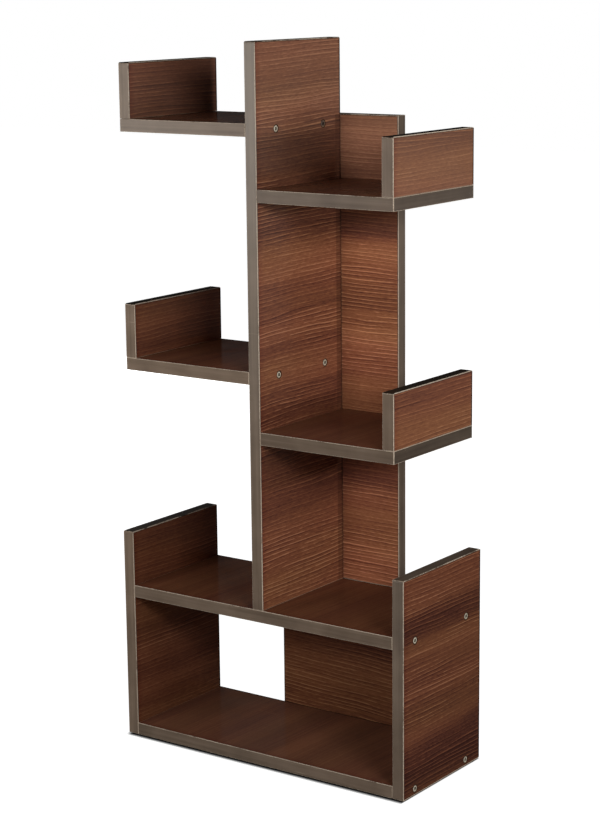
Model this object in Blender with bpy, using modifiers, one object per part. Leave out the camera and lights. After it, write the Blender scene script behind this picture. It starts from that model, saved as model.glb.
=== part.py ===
"""Tree bookshelf of laminated boards.

A low base box with a middle shelf carries a central upright, and the upright carries
staggered shelves with end guards. Metres, +Z up, front towards -Y. The origin is on the
floor, under the centre of the object's box.
"""

import math
from collections import namedtuple

import bpy
from mathutils import Matrix, Vector

# Boards
BOARD_THICKNESS = 0.015
BOARD_ARRIS = 0.0004
BASE_WIDTH = 0.410
SHELF_DEPTH = 0.169
BASE_BAY_HEIGHT = 0.164
SIDE_HEAD = 0.068
SHELF_LENGTH = 0.185
GUARD_HEIGHT = 0.066
UPRIGHT_HEAD = 0.092

# Steps up the trunk, each from one shelf's underside to the next one's
LOWER_RIGHT_STEP = 0.201
LOWER_LEFT_STEP = 0.070
UPPER_RIGHT_STEP = 0.212
UPPER_LEFT_STEP = 0.074

# Back panels
TRUNK_PANEL_WIDTH = 0.097
TRUNK_PANEL_HEAD = 0.076
LOWER_PANEL_LEFT_INSET = 0.1186

# Clearance between pieces that touch, and how far a cutter runs past a face
SEAT_GAP = 0.0003
CUT_OVERRUN = 0.001
MERGE_DISTANCE = 0.00001

# Screws: flat countersunk head with a hexagon socket
SCREW_LENGTH = 0.040
SCREW_HEAD_DIAMETER = 0.0074
SCREW_HEAD_RIM = 0.0007
SCREW_HEAD_CONE = 0.0016
SCREW_HEAD_RECESS = 0.0002
SCREW_SHANK_DIAMETER = 0.0044
SCREW_TIP_LENGTH = 0.004
SCREW_TIP_DIAMETER = 0.0015
SCREW_SOCKET_WIDTH = 0.003
SCREW_SOCKET_DEPTH = 0.0019

# Where the screws stand, measured in from the board's nearest edge
BASE_ROW_FRONT_INSET = 0.025
BASE_ROW_BACK_INSET = 0.032
SHELF_ROW_FRONT_INSET = 0.039
SHELF_ROW_BACK_INSET = 0.036
TRUNK_SCREW_END_INSET = 0.040
TRUNK_SCREW_SIDE_INSET = 0.025
LOWER_PANEL_SCREW_INSET = 0.042

# Nail-on glide feet under the side panels
FOOT_DIAMETER = 0.013
FOOT_HEIGHT = 0.002
FOOT_EDGE = 0.0006
FOOT_INSET = 0.012
NAIL_DIAMETER = 0.0018
NAIL_LENGTH = 0.012
NAIL_POINT_LENGTH = 0.003
NAIL_POINT_DIAMETER = 0.0004

# Facets round a turned piece
TURNED_STEPS = 12
FOOT_STEPS = 16
NAIL_STEPS = 8
SMOOTH_ANGLE = math.radians(40)

Finish = namedtuple("Finish", "color roughness metallic")
WALNUT = Finish((0.19, 0.075, 0.040, 1.0), 0.42, 0.0)
NICKEL = Finish((0.62, 0.60, 0.57, 1.0), 0.28, 1.0)
BLACK_PLASTIC = Finish((0.02, 0.02, 0.02, 1.0), 0.55, 0.0)

# Levels, worked out from the sizes above
BOARD_BASE = FOOT_HEIGHT + SEAT_GAP
BOTTOM_TOP = BOARD_BASE + BOARD_THICKNESS
MIDDLE_LOW = BOTTOM_TOP + BASE_BAY_HEIGHT
MIDDLE_TOP = MIDDLE_LOW + BOARD_THICKNESS
SIDE_TOP = MIDDLE_TOP + SIDE_HEAD
LOWER_RIGHT_LOW = MIDDLE_TOP + LOWER_RIGHT_STEP
LOWER_LEFT_LOW = LOWER_RIGHT_LOW + LOWER_LEFT_STEP
UPPER_RIGHT_LOW = LOWER_LEFT_LOW + UPPER_RIGHT_STEP
UPPER_LEFT_LOW = UPPER_RIGHT_LOW + UPPER_LEFT_STEP
TRUNK_PANEL_TOP = UPPER_RIGHT_LOW + BOARD_THICKNESS + TRUNK_PANEL_HEAD
UPRIGHT_TOP = UPPER_LEFT_LOW + BOARD_THICKNESS + UPRIGHT_HEAD

# Planes across the width and the depth
HALF_WIDTH = BASE_WIDTH / 2
SIDE_INNER = HALF_WIDTH - BOARD_THICKNESS
HALF_UPRIGHT = BOARD_THICKNESS / 2
SHELF_INNER = HALF_UPRIGHT + SEAT_GAP
SHELF_OUTER = HALF_UPRIGHT + SHELF_LENGTH
FRONT = -(SHELF_DEPTH + SEAT_GAP + BOARD_THICKNESS) / 2
BACK = FRONT + SHELF_DEPTH
PANEL_FRONT = BACK + SEAT_GAP
PANEL_BACK = PANEL_FRONT + BOARD_THICKNESS
TRUNK_PANEL_RIGHT = TRUNK_PANEL_WIDTH - HALF_UPRIGHT
LOWER_PANEL_LEFT = LOWER_PANEL_LEFT_INSET - HALF_WIDTH

# Each trunk shelf: its name, the side that it stands out to, and its underside
Shelf = namedtuple("Shelf", "name side low")
TRUNK_SHELVES = (
    Shelf("lower_right", 1, LOWER_RIGHT_LOW),
    Shelf("lower_left", -1, LOWER_LEFT_LOW),
    Shelf("upper_right", 1, UPPER_RIGHT_LOW),
    Shelf("upper_left", -1, UPPER_LEFT_LOW),
)
SIDES = (("left", -1), ("right", 1))

# The rows of screws across the depth
BASE_ROWS = (
    ("front", FRONT + BASE_ROW_FRONT_INSET),
    ("back", BACK - BASE_ROW_BACK_INSET),
)
SHELF_ROWS = (
    ("front", FRONT + SHELF_ROW_FRONT_INSET),
    ("back", BACK - SHELF_ROW_BACK_INSET),
)

# A fastener: where its head meets the face, which way that face looks, and the boards it enters
Fastener = namedtuple("Fastener", "name point outward boards")


def clear_scene():
    """Removes every object that the file opened with."""
    for old in list(bpy.data.objects):
        bpy.data.objects.remove(old, do_unlink=True)


def new_collection(name, parent):
    """A collection inside another one."""
    collection = bpy.data.collections.new(name)
    parent.children.link(collection)
    return collection


def move_to(piece, collection):
    """Leaves an object in one collection only."""
    for other in list(piece.users_collection):
        other.objects.unlink(piece)
    collection.objects.link(piece)


def make_material(name, finish):
    """A Principled material for one piece."""
    material = bpy.data.materials.new(name)
    material.use_nodes = True
    shader = material.node_tree.nodes["Principled BSDF"]
    shader.inputs["Base Color"].default_value = finish.color
    shader.inputs["Roughness"].default_value = finish.roughness
    shader.inputs["Metallic"].default_value = finish.metallic
    material.diffuse_color = finish.color
    return material


def facing(point, outward):
    """The matrix that stands a turned piece on a face, its axis along the face's normal."""
    turn = Vector(outward).to_track_quat("Z", "Y").to_matrix().to_4x4()
    return Matrix.Translation(point) @ turn


def span(one, other):
    """Two places in rising order."""
    return (min(one, other), max(one, other))


def board_spans():
    """The spans of every board along X, Y and Z, by name."""
    across = (-SIDE_INNER + SEAT_GAP, SIDE_INNER - SEAT_GAP)
    depth = (FRONT, BACK)
    behind = (PANEL_FRONT, PANEL_BACK)
    spans = {
        "bottom_board": (across, depth, (BOARD_BASE, BOTTOM_TOP)),
        "middle_shelf": (across, depth, (MIDDLE_LOW, MIDDLE_TOP)),
        "trunk_upright": ((-HALF_UPRIGHT, HALF_UPRIGHT), depth, (MIDDLE_TOP + SEAT_GAP, UPRIGHT_TOP)),
        "trunk_back_panel": (
            (-HALF_UPRIGHT, TRUNK_PANEL_RIGHT),
            behind,
            (MIDDLE_TOP + SEAT_GAP, TRUNK_PANEL_TOP),
        ),
        "lower_back_panel": ((LOWER_PANEL_LEFT, SIDE_INNER), behind, (BOARD_BASE, MIDDLE_TOP)),
    }
    for name, side in SIDES:
        thickness = span(side * HALF_WIDTH, side * SIDE_INNER)
        spans[f"{name}_side_panel"] = (thickness, depth, (BOARD_BASE, SIDE_TOP))
    for name, side, low in TRUNK_SHELVES:
        top = low + BOARD_THICKNESS
        length = span(side * SHELF_INNER, side * SHELF_OUTER)
        end = span(side * SHELF_OUTER, side * (SHELF_OUTER - BOARD_THICKNESS))
        guard_foot = top + SEAT_GAP
        spans[f"{name}_shelf"] = (length, depth, (low, top))
        spans[f"{name}_guard"] = (end, depth, (guard_foot, top + GUARD_HEIGHT))
    return spans


def add_board(name, spans, collection):
    """A board with eased arrises, from its spans along X, Y and Z."""
    centre = [(low + high) / 2 for low, high in spans]
    bpy.ops.mesh.primitive_cube_add(size=1, location=centre)
    board = bpy.context.object
    board.name = name
    board.scale = [high - low for low, high in spans]
    bpy.ops.object.transform_apply(location=False, rotation=False, scale=True)
    arris = board.modifiers.new("arris", "BEVEL")
    arris.width = BOARD_ARRIS
    arris.segments = 1
    board.data.materials.append(make_material(name, WALNUT))
    move_to(board, collection)
    return board


def turned(name, profile, steps, collection):
    """A solid turned about Z, from a profile of radii and heights that runs from top to bottom."""
    mesh = bpy.data.meshes.new(name)
    points = [(radius, 0, height) for radius, height in profile]
    edges = [(start, start + 1) for start in range(len(points) - 1)]
    mesh.from_pydata(points, edges, [])
    solid = bpy.data.objects.new(name, mesh)
    collection.objects.link(solid)
    turn = solid.modifiers.new("turn", "SCREW")
    turn.steps = steps
    turn.render_steps = steps
    turn.use_merge_vertices = True
    turn.merge_threshold = MERGE_DISTANCE
    return solid


def evaluated_mesh(source, name):
    """The mesh that an object's modifiers leave, smooth round its barrel and with an empty material
    slot. The object goes."""
    bpy.context.view_layer.update()
    graph = bpy.context.evaluated_depsgraph_get()
    mesh = bpy.data.meshes.new_from_object(source.evaluated_get(graph))
    mesh.name = name
    mesh.shade_smooth()
    mesh.set_sharp_from_angle(angle=SMOOTH_ANGLE)
    mesh.materials.clear()
    mesh.materials.append(None)
    bpy.data.objects.remove(source, do_unlink=True)
    return mesh


def screw_profile():
    """The screw's outline: head, cone, shank and tip, with its top face at height zero."""
    head = SCREW_HEAD_DIAMETER / 2
    shank = SCREW_SHANK_DIAMETER / 2
    neck = -SCREW_HEAD_RIM - SCREW_HEAD_CONE
    return (
        (0, 0),
        (head, 0),
        (head, -SCREW_HEAD_RIM),
        (shank, neck),
        (shank, SCREW_TIP_LENGTH - SCREW_LENGTH),
        (SCREW_TIP_DIAMETER / 2, -SCREW_LENGTH),
        (0, -SCREW_LENGTH),
    )


def screw_hole_profile():
    """The hole that clears a screw all round, open past the face that its head sits in."""
    head = SCREW_HEAD_DIAMETER / 2 + SEAT_GAP
    shank = SCREW_SHANK_DIAMETER / 2 + SEAT_GAP
    neck = -SCREW_HEAD_RIM - SCREW_HEAD_CONE
    end = -SCREW_LENGTH - SEAT_GAP
    return (
        (0, SCREW_HEAD_RECESS + CUT_OVERRUN),
        (head, SCREW_HEAD_RECESS + CUT_OVERRUN),
        (head, -SCREW_HEAD_RIM),
        (shank, neck),
        (shank, end),
        (0, end),
    )


def make_screw_mesh(collection):
    """The mesh that all the screws share."""
    screw = turned("screw", screw_profile(), TURNED_STEPS, collection)
    bpy.ops.mesh.primitive_cylinder_add(
        vertices=6,
        radius=SCREW_SOCKET_WIDTH / math.sqrt(3),
        depth=SCREW_SOCKET_DEPTH + CUT_OVERRUN,
        location=(0, 0, (CUT_OVERRUN - SCREW_SOCKET_DEPTH) / 2),
    )
    socket = bpy.context.object
    cut = screw.modifiers.new("hexagon socket", "BOOLEAN")
    cut.operation = "DIFFERENCE"
    cut.object = socket
    mesh = evaluated_mesh(screw, "screw")
    bpy.data.objects.remove(socket, do_unlink=True)
    return mesh


def foot_profile():
    """A glide foot's outline: nail up, disc down, with the disc's upper face at height zero."""
    disc = FOOT_DIAMETER / 2
    nail = NAIL_DIAMETER / 2
    return (
        (0, NAIL_LENGTH),
        (NAIL_POINT_DIAMETER / 2, NAIL_LENGTH),
        (nail, NAIL_LENGTH - NAIL_POINT_LENGTH),
        (nail, 0),
        (disc, 0),
        (disc, FOOT_EDGE - FOOT_HEIGHT),
        (disc - FOOT_EDGE, -FOOT_HEIGHT),
        (0, -FOOT_HEIGHT),
    )


def nail_hole_profile():
    """The hole that clears a foot's nail, open below the panel."""
    nail = NAIL_DIAMETER / 2 + SEAT_GAP
    top = NAIL_LENGTH + SEAT_GAP
    return (
        (0, top),
        (nail, top),
        (nail, -CUT_OVERRUN),
        (0, -CUT_OVERRUN),
    )


def side_screws():
    """Through each side panel into the ends of the bottom board and the middle shelf."""
    levels = (
        ("bottom", "bottom_board", (BOARD_BASE + BOTTOM_TOP) / 2),
        ("middle", "middle_shelf", (MIDDLE_LOW + MIDDLE_TOP) / 2),
    )
    for name, side in SIDES:
        for level, board, height in levels:
            for row, place in BASE_ROWS:
                yield Fastener(
                    f"{name}_side_screw_{level}_{row}",
                    (side * HALF_WIDTH, place, height),
                    (side, 0, 0),
                    (f"{name}_side_panel", board),
                )


def shelf_screws():
    """Through the upright into each shelf's inner end, with the head on the far face."""
    for name, side, low in TRUNK_SHELVES:
        for row, place in SHELF_ROWS:
            yield Fastener(
                f"{name}_shelf_screw_{row}",
                (-side * HALF_UPRIGHT, place, low + BOARD_THICKNESS / 2),
                (-side, 0, 0),
                ("trunk_upright", f"{name}_shelf"),
            )


def guard_screws():
    """Up through each shelf's outer end into its guard."""
    for name, side, low in TRUNK_SHELVES:
        for row, place in SHELF_ROWS:
            yield Fastener(
                f"{name}_guard_screw_{row}",
                (side * (SHELF_OUTER - BOARD_THICKNESS / 2), place, low),
                (0, 0, -1),
                (f"{name}_shelf", f"{name}_guard"),
            )


def upright_screws():
    """Up through the middle shelf into the foot of the upright."""
    for row, place in SHELF_ROWS:
        yield Fastener(
            f"upright_foot_screw_{row}",
            (0, place, MIDDLE_LOW),
            (0, 0, -1),
            ("middle_shelf", "trunk_upright"),
        )


def trunk_panel_screws():
    """Through the trunk's back panel into the upright and into the right shelves."""
    low = MIDDLE_TOP + SEAT_GAP + TRUNK_SCREW_END_INSET
    high = TRUNK_PANEL_TOP - TRUNK_SCREW_END_INSET
    for level, height in (("low", low), ("mid", (low + high) / 2), ("high", high)):
        yield Fastener(
            f"trunk_panel_screw_{level}",
            (0, PANEL_BACK, height),
            (0, 1, 0),
            ("trunk_back_panel", "trunk_upright"),
        )
    for name, side, shelf_low in TRUNK_SHELVES:
        if side > 0:
            yield Fastener(
                f"trunk_panel_screw_{name}",
                (TRUNK_PANEL_RIGHT - TRUNK_SCREW_SIDE_INSET, PANEL_BACK, shelf_low + BOARD_THICKNESS / 2),
                (0, 1, 0),
                ("trunk_back_panel", f"{name}_shelf"),
            )


def lower_panel_screws():
    """Through the lower back panel into the bottom board and the middle shelf."""
    ends = (
        ("left", LOWER_PANEL_LEFT + LOWER_PANEL_SCREW_INSET),
        ("right", SIDE_INNER - LOWER_PANEL_SCREW_INSET),
    )
    levels = (
        ("bottom", "bottom_board", (BOARD_BASE + BOTTOM_TOP) / 2),
        ("middle", "middle_shelf", (MIDDLE_LOW + MIDDLE_TOP) / 2),
    )
    for level, board, height in levels:
        for end, place in ends:
            yield Fastener(
                f"lower_panel_screw_{level}_{end}",
                (place, PANEL_BACK, height),
                (0, 1, 0),
                ("lower_back_panel", board),
            )


def all_screws():
    """Every screw, joint by joint."""
    for joint in (
        side_screws,
        shelf_screws,
        guard_screws,
        upright_screws,
        trunk_panel_screws,
        lower_panel_screws,
    ):
        yield from joint()


def glide_feet():
    """A foot near each lower corner of the side panels."""
    ends = (("front", FRONT + FOOT_INSET), ("back", BACK - FOOT_INSET))
    for name, side in SIDES:
        for end, place in ends:
            yield Fastener(
                f"glide_foot_{end}_{name}",
                (side * (HALF_WIDTH - BOARD_THICKNESS / 2), place, FOOT_HEIGHT),
                (0, 0, 1),
                (f"{name}_side_panel",),
            )


def place_cutter(name, mesh, matrix, cutters, boards):
    """A cutter's copy, in the cutter collection of each board that it enters."""
    cutter = bpy.data.objects.new(name, mesh)
    cutter.matrix_world = matrix
    cutter.hide_render = True
    cutter.display_type = "WIRE"
    for board in boards:
        cutters[board].objects.link(cutter)


def drill(board, cutters):
    """Cuts every hole of one board."""
    holes = board.modifiers.new("holes", "BOOLEAN")
    holes.operation = "DIFFERENCE"
    holes.operand_type = "COLLECTION"
    holes.collection = cutters
    holes.solver = "EXACT"


def fasten(fastener, mesh, finish, parts, root):
    """One screw or foot: an object that shares its mesh, with a material of its own."""
    piece = bpy.data.objects.new(fastener.name, mesh)
    piece.matrix_world = facing(fastener.point, fastener.outward)
    piece.material_slots[0].link = "OBJECT"
    piece.material_slots[0].material = make_material(fastener.name, finish)
    piece.parent = root
    parts.objects.link(piece)


def main():
    """Builds the boards, then the screws and feet with their holes."""
    clear_scene()
    scene = bpy.context.scene.collection
    parts = new_collection("tree_bookshelf", scene)
    cutter_group = new_collection("cutters", scene)
    cutter_group.hide_render = True
    root = bpy.data.objects.new("tree_bookshelf_origin", None)
    parts.objects.link(root)

    boards = {name: add_board(name, spans, parts) for name, spans in board_spans().items()}
    cutters = {name: new_collection(f"{name}_holes", cutter_group) for name in boards}
    for board in boards.values():
        board.parent = root

    screw_mesh = make_screw_mesh(parts)
    foot_mesh = evaluated_mesh(turned("foot", foot_profile(), FOOT_STEPS, parts), "foot")
    screw_hole = evaluated_mesh(
        turned("screw_hole", screw_hole_profile(), TURNED_STEPS, cutter_group), "screw_hole"
    )
    nail_hole = evaluated_mesh(
        turned("nail_hole", nail_hole_profile(), NAIL_STEPS, cutter_group), "nail_hole"
    )

    for screw in all_screws():
        sunk = Vector(screw.point) - Vector(screw.outward) * SCREW_HEAD_RECESS
        seated = screw._replace(point=sunk)
        fasten(seated, screw_mesh, NICKEL, parts, root)
        matrix = facing(sunk, screw.outward)
        place_cutter(f"{screw.name}_hole", screw_hole, matrix, cutters, screw.boards)
    for foot in glide_feet():
        fasten(foot, foot_mesh, BLACK_PLASTIC, parts, root)
        matrix = facing(Vector(foot.point) + Vector((0, 0, SEAT_GAP)), foot.outward)
        place_cutter(f"{foot.name}_hole", nail_hole, matrix, cutters, foot.boards)
    for name, board in boards.items():
        if cutters[name].objects:
            drill(board, cutters[name])


main()
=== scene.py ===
"""Looks of the tree bookshelf: laminated boards, their glued edge tapes, screws and glide feet.

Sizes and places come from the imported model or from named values. Metres, +Z up, front towards -Y.
"""

import sys
import logging
import math
from collections.abc import Callable, Iterator, Sequence
from contextlib import contextmanager
from dataclasses import dataclass, field, replace
from enum import Enum
from typing import Union

import bmesh
import bpy
from mathutils import Matrix, Vector


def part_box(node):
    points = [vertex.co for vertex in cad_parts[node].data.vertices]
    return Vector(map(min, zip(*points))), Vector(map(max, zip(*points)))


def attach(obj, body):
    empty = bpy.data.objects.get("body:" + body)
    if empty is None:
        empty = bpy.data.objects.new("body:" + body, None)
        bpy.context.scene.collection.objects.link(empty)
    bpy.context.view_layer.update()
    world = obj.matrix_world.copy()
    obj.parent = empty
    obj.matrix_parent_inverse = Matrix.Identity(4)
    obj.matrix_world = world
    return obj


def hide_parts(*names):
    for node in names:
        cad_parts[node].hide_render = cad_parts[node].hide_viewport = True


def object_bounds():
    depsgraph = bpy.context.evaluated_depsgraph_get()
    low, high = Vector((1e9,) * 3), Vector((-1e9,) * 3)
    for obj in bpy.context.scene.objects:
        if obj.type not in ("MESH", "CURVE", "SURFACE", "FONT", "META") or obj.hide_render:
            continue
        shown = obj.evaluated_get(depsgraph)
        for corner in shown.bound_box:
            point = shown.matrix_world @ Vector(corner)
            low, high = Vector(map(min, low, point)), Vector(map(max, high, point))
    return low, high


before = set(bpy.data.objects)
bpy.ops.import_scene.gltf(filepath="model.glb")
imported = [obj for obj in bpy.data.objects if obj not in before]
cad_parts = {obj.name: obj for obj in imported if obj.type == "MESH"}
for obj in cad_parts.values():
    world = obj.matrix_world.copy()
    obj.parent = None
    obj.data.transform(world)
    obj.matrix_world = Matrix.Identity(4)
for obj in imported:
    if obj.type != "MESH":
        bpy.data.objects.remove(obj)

CAD_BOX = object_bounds()
BODY = "root"
MILLIMETRE = 0.001
SMOOTH_ANGLE = math.radians(40)
TOUCH = 0.0001
WHITE = (1.0, 1.0, 1.0)
BLACK = (0.0, 0.0, 0.0)
ROWS = ("front", "back")

log = logging.getLogger("bookshelf")

Span = tuple[float, float]
Triple = tuple[float, float, float]
Four = tuple[float, float, float, float]
Colour = Triple
Stops = tuple[tuple[float, Colour], ...]
Box = tuple[Vector, Vector]
Value = Union["Signal", float, Sequence[float]]
Piece = bpy.types.Object
Group = bpy.types.NodeTree
Material = bpy.types.Material
MeshEdge = bmesh.types.BMEdge


# Named options


class Edge(Enum):
    """The six sides of a board's box: the axis that a side looks along, and its sign."""

    LEFT = (0, -1)
    RIGHT = (0, 1)
    FRONT = (1, -1)
    BACK = (1, 1)
    FOOT = (2, -1)
    HEAD = (2, 1)

    def __init__(self, axis: int, sign: int) -> None:
        """Names the side's axis and sign."""
        self.axis = axis
        self.sign = sign

    @property
    def outward(self) -> Vector:
        """The direction that the side looks in."""
        return Vector([self.sign if axis == self.axis else 0 for axis in range(3)])

    @property
    def opposite(self) -> "Edge":
        """The side across the box."""
        return Edge((self.axis, -self.sign))

    def wall(self, box: "Box") -> float:
        """Where this side of a box lies on its axis."""
        return box[1 if self.sign > 0 else 0][self.axis]


class Grain(Enum):
    """Which way the printed grain runs on a board, as the rows that turn X, Y and Z into
    along the grain, across it and through the board."""

    UPRIGHT_ALONG_DEPTH = ((0, 1, 0), (0, 0, 1), (1, 0, 0))
    UPRIGHT_ALONG_WIDTH = ((1, 0, 0), (0, 0, 1), (0, -1, 0))
    FLAT_ALONG_DEPTH = ((0, 1, 0), (-1, 0, 0), (0, 0, 1))


# Node sheets


def summed(operation: str) -> Callable[..., "Signal"]:
    """A method that does one sum with a node."""
    return lambda signal, *others: signal.sheet.math(operation, signal, *others)


@dataclass
class Signal:
    """One output on a node sheet, used in sums like a plain number, vector or colour."""

    sheet: "Sheet"
    socket: bpy.types.NodeSocket
    __add__ = __radd__ = summed("ADD")
    __sub__ = summed("SUBTRACT")
    __mul__ = __rmul__ = summed("MULTIPLY")
    least = summed("MINIMUM")
    most = summed("MAXIMUM")
    unsigned = summed("ABSOLUTE")

    def __getitem__(self, name: str) -> "Signal":
        """Another output of the same node."""
        return Signal(self.sheet, self.socket.node.outputs[name])

    def __rsub__(self, other: Value) -> "Signal":
        """Another value less this one."""
        return self.sheet.math("SUBTRACT", other, self)

    def centred(self, swing: Value) -> "Signal":
        """A value from nought to one, moved to swing about zero."""
        return (self - 0.5) * swing

    def ease(self, low: Value, high: Value, start: Value = 0.0, end: Value = 1.0) -> "Signal":
        """A smooth step of the value.

        Args:
            low: Where the step begins.
            high: Where it ends.
            start: The result before the step.
            end: The result after it.

        Returns:
            The stepped value.
        """
        inputs = {"Value": self, "From Min": low, "From Max": high, "To Min": start, "To Max": end}
        return self.sheet.add("MapRange", inputs, interpolation_type="SMOOTHSTEP")

    def xyz(self) -> tuple["Signal", "Signal", "Signal"]:
        """The three numbers of a vector."""
        parts = self.sheet.add("SeparateXYZ", {"Vector": self})
        return parts["X"], parts["Y"], parts["Z"]

    def noise(self, scale: float = 1.0, detail: float = 2.0, roughness: float = 0.5) -> "Signal":
        """Soft noise from nought to one, read at this vector.

        Args:
            scale: Spots to a metre, if the vector is in metres.
            detail: How many finer layers it has.
            roughness: How strong the finer layers are.

        Returns:
            The noise value.
        """
        inputs = {"Vector": self, "Scale": scale, "Detail": detail, "Roughness": roughness}
        return self.sheet.add("TexNoise", inputs)

    def mapped(self, **inputs: Sequence[float]) -> "Signal":
        """This vector, turned or stretched by a Mapping node's Rotation or Scale."""
        return self.sheet.add("Mapping", {"Vector": self, **inputs})

    def under(self, share: Value, top: Value) -> "Signal":
        """This colour with a share of another laid over it."""
        return self.sheet.mix(share, self, top)

    def times(self, colour: Value) -> "Signal":
        """This colour multiplied by another."""
        return self.sheet.mix(1.0, self, colour, "MULTIPLY")

    def bump(self, depth: float, **more: Value) -> "Signal":
        """The normal of a surface whose height runs from nought to this depth."""
        return self.sheet.add("Bump", {"Height": self, "Distance": depth, **more})


@dataclass
class Sheet:
    """A node tree, with short calls that add nodes and link them."""

    tree: Group

    def feed(self, socket: bpy.types.NodeSocket, value: Value) -> None:
        """Links an input to a signal, or sets its constant number, vector or colour.

        Args:
            socket: The input.
            value: What feeds it.
        """
        if isinstance(value, Signal):
            self.tree.links.new(value.socket, socket)
        elif socket.type == "RGBA":
            socket.default_value = (*value, 1.0)
        else:
            socket.default_value = value

    def add(self, kind: str, inputs: dict | None = None, out: int | str = 0, **settings: object) -> Signal:
        """Adds one node.

        Args:
            kind: Blender's name of the node type, after ShaderNode.
            inputs: What feeds its inputs, by name or number.
            out: The output that is wanted.
            **settings: Properties of the node.

        Returns:
            That output.
        """
        node = self.tree.nodes.new(f"ShaderNode{kind}")
        for name, value in settings.items():
            setattr(node, name, value)
        for name, value in (inputs or {}).items():
            self.feed(node.inputs[name], value)
        return Signal(self, node.outputs[out])

    def math(self, operation: str, *values: Value, **settings: object) -> Signal:
        """A sum on numbers, or on vectors if one of the values is a vector.

        Args:
            operation: Blender's name of the sum.
            *values: What it works on.
            **settings: Properties of the node.

        Returns:
            The result.
        """
        vectors = any(isinstance(value, Signal) and value.socket.type == "VECTOR" for value in values)
        kind = "VectorMath" if vectors else "Math"
        return self.add(kind, dict(enumerate(values)), operation=operation, **settings)

    def join(self, x: Value, y: Value, z: Value) -> Signal:
        """A vector from three numbers."""
        return self.add("CombineXYZ", {"X": x, "Y": y, "Z": z})

    def mix(self, share: Value, first: Value, second: Value, blend: str = "MIX") -> Signal:
        """Lays one colour over another. The node's colour sockets are inputs 6 and 7, output 2.

        Args:
            share: How much of the second shows.
            first: The colour underneath.
            second: The colour on top.
            blend: How they combine.

        Returns:
            The mixed colour.
        """
        inputs = {0: share, 6: first, 7: second}
        return self.add("Mix", inputs, out=2, data_type="RGBA", blend_type=blend)

    def ramp(self, value: Signal, stops: Sequence[tuple[float, Colour]]) -> Signal:
        """Colours along a value.

        Args:
            value: From nought to one.
            stops: Each place and its colour, in rising order.

        Returns:
            The colour at the value.
        """
        colour = self.add("ValToRGB", {"Fac": value})
        band = colour.socket.node.color_ramp.elements
        while len(band) < len(stops):
            band.new(1.0)
        for element, (place, stop) in zip(band, stops):
            element.position = place
            element.color = (*stop, 1.0)
        return colour

    def group(self, group: Group, vector: Signal, **inputs: Value) -> Signal:
        """Places a shared effect. Input names have underscores for spaces.

        Args:
            group: The effect's node group.
            vector: Where it is read.
            **inputs: What feeds its other inputs.

        Returns:
            The effect's first output.
        """
        named = {name.replace("_", " ").capitalize(): value for name, value in inputs.items()}
        return self.add("Group", {"Vector": vector, **named}, node_tree=group)


class EffectSheet(Sheet):
    """The sheet of a shared effect, a node group with named inputs and outputs."""

    def __init__(self, name: str, numbers: Sequence[str] = (), vectors: Sequence[str] = ()) -> None:
        """Starts the group.

        Args:
            name: The group's name.
            numbers: The names of its number inputs.
            vectors: The names of its vector inputs, beside the place that it is read at.
        """
        super().__init__(bpy.data.node_groups.new(name, "ShaderNodeTree"))
        for kind, labels in (("Vector", ("Vector", *vectors)), ("Float", numbers)):
            for label in labels:
                self.tree.interface.new_socket(name=label, in_out="INPUT", socket_type=f"NodeSocket{kind}")
        self.given = Signal(self, self.tree.nodes.new("NodeGroupInput").outputs[0])

    def give(self, **outputs: Signal) -> Group:
        """Makes the group's outputs and feeds them.

        Args:
            **outputs: What feeds each output.

        Returns:
            The finished group.
        """
        for label, value in outputs.items():
            kind = "Color" if value.socket.type == "RGBA" else "Float"
            self.tree.interface.new_socket(name=label, in_out="OUTPUT", socket_type=f"NodeSocket{kind}")
        leave = self.tree.nodes.new("NodeGroupOutput")
        for label, value in outputs.items():
            self.feed(leave.inputs[label], value)
        return self.tree


def arris_distance() -> Group:
    """Measures how far a point on a box is from the box's nearest arris.

    Returns:
        The node group.
    """
    sheet = EffectSheet("arris_distance", vectors=("Low", "High"))
    place = sheet.given["Vector"]
    inside = (place - sheet.given["Low"]).least(sheet.given["High"] - place)
    x, y, z = inside.unsigned().xyz()
    return sheet.give(Distance=x.least(y).most(x.most(y).least(z)))


@dataclass(frozen=True)
class RaggedLine:
    """A thin line along an arris that wanders in width and breaks off in places."""

    speck: Triple = (700.0, 2.0, 0.6)
    stretch: Triple = (38.0, 2.0, 0.55)
    wander: float = 1.6
    solid_share: float = 0.6
    speck_share: float = 0.5
    break_softness: float = 0.12

    def group(self) -> Group:
        """Builds the effect.

        Returns:
            The node group.
        """
        sheet = EffectSheet("ragged_line", ("Distance", "Width", "Cover"))
        given = sheet.given
        speck = given["Vector"].noise(*self.speck)
        reach = given["Width"] * (1.0 + speck.centred(self.wander))
        line = given["Distance"].ease(reach, reach * self.solid_share)
        worn = speck.centred(self.speck_share) + given["Vector"].noise(*self.stretch)
        gate = 1.0 - given["Cover"]
        kept = worn.ease(gate - self.break_softness, gate + self.break_softness)
        return sheet.give(Mask=line * kept)


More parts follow.
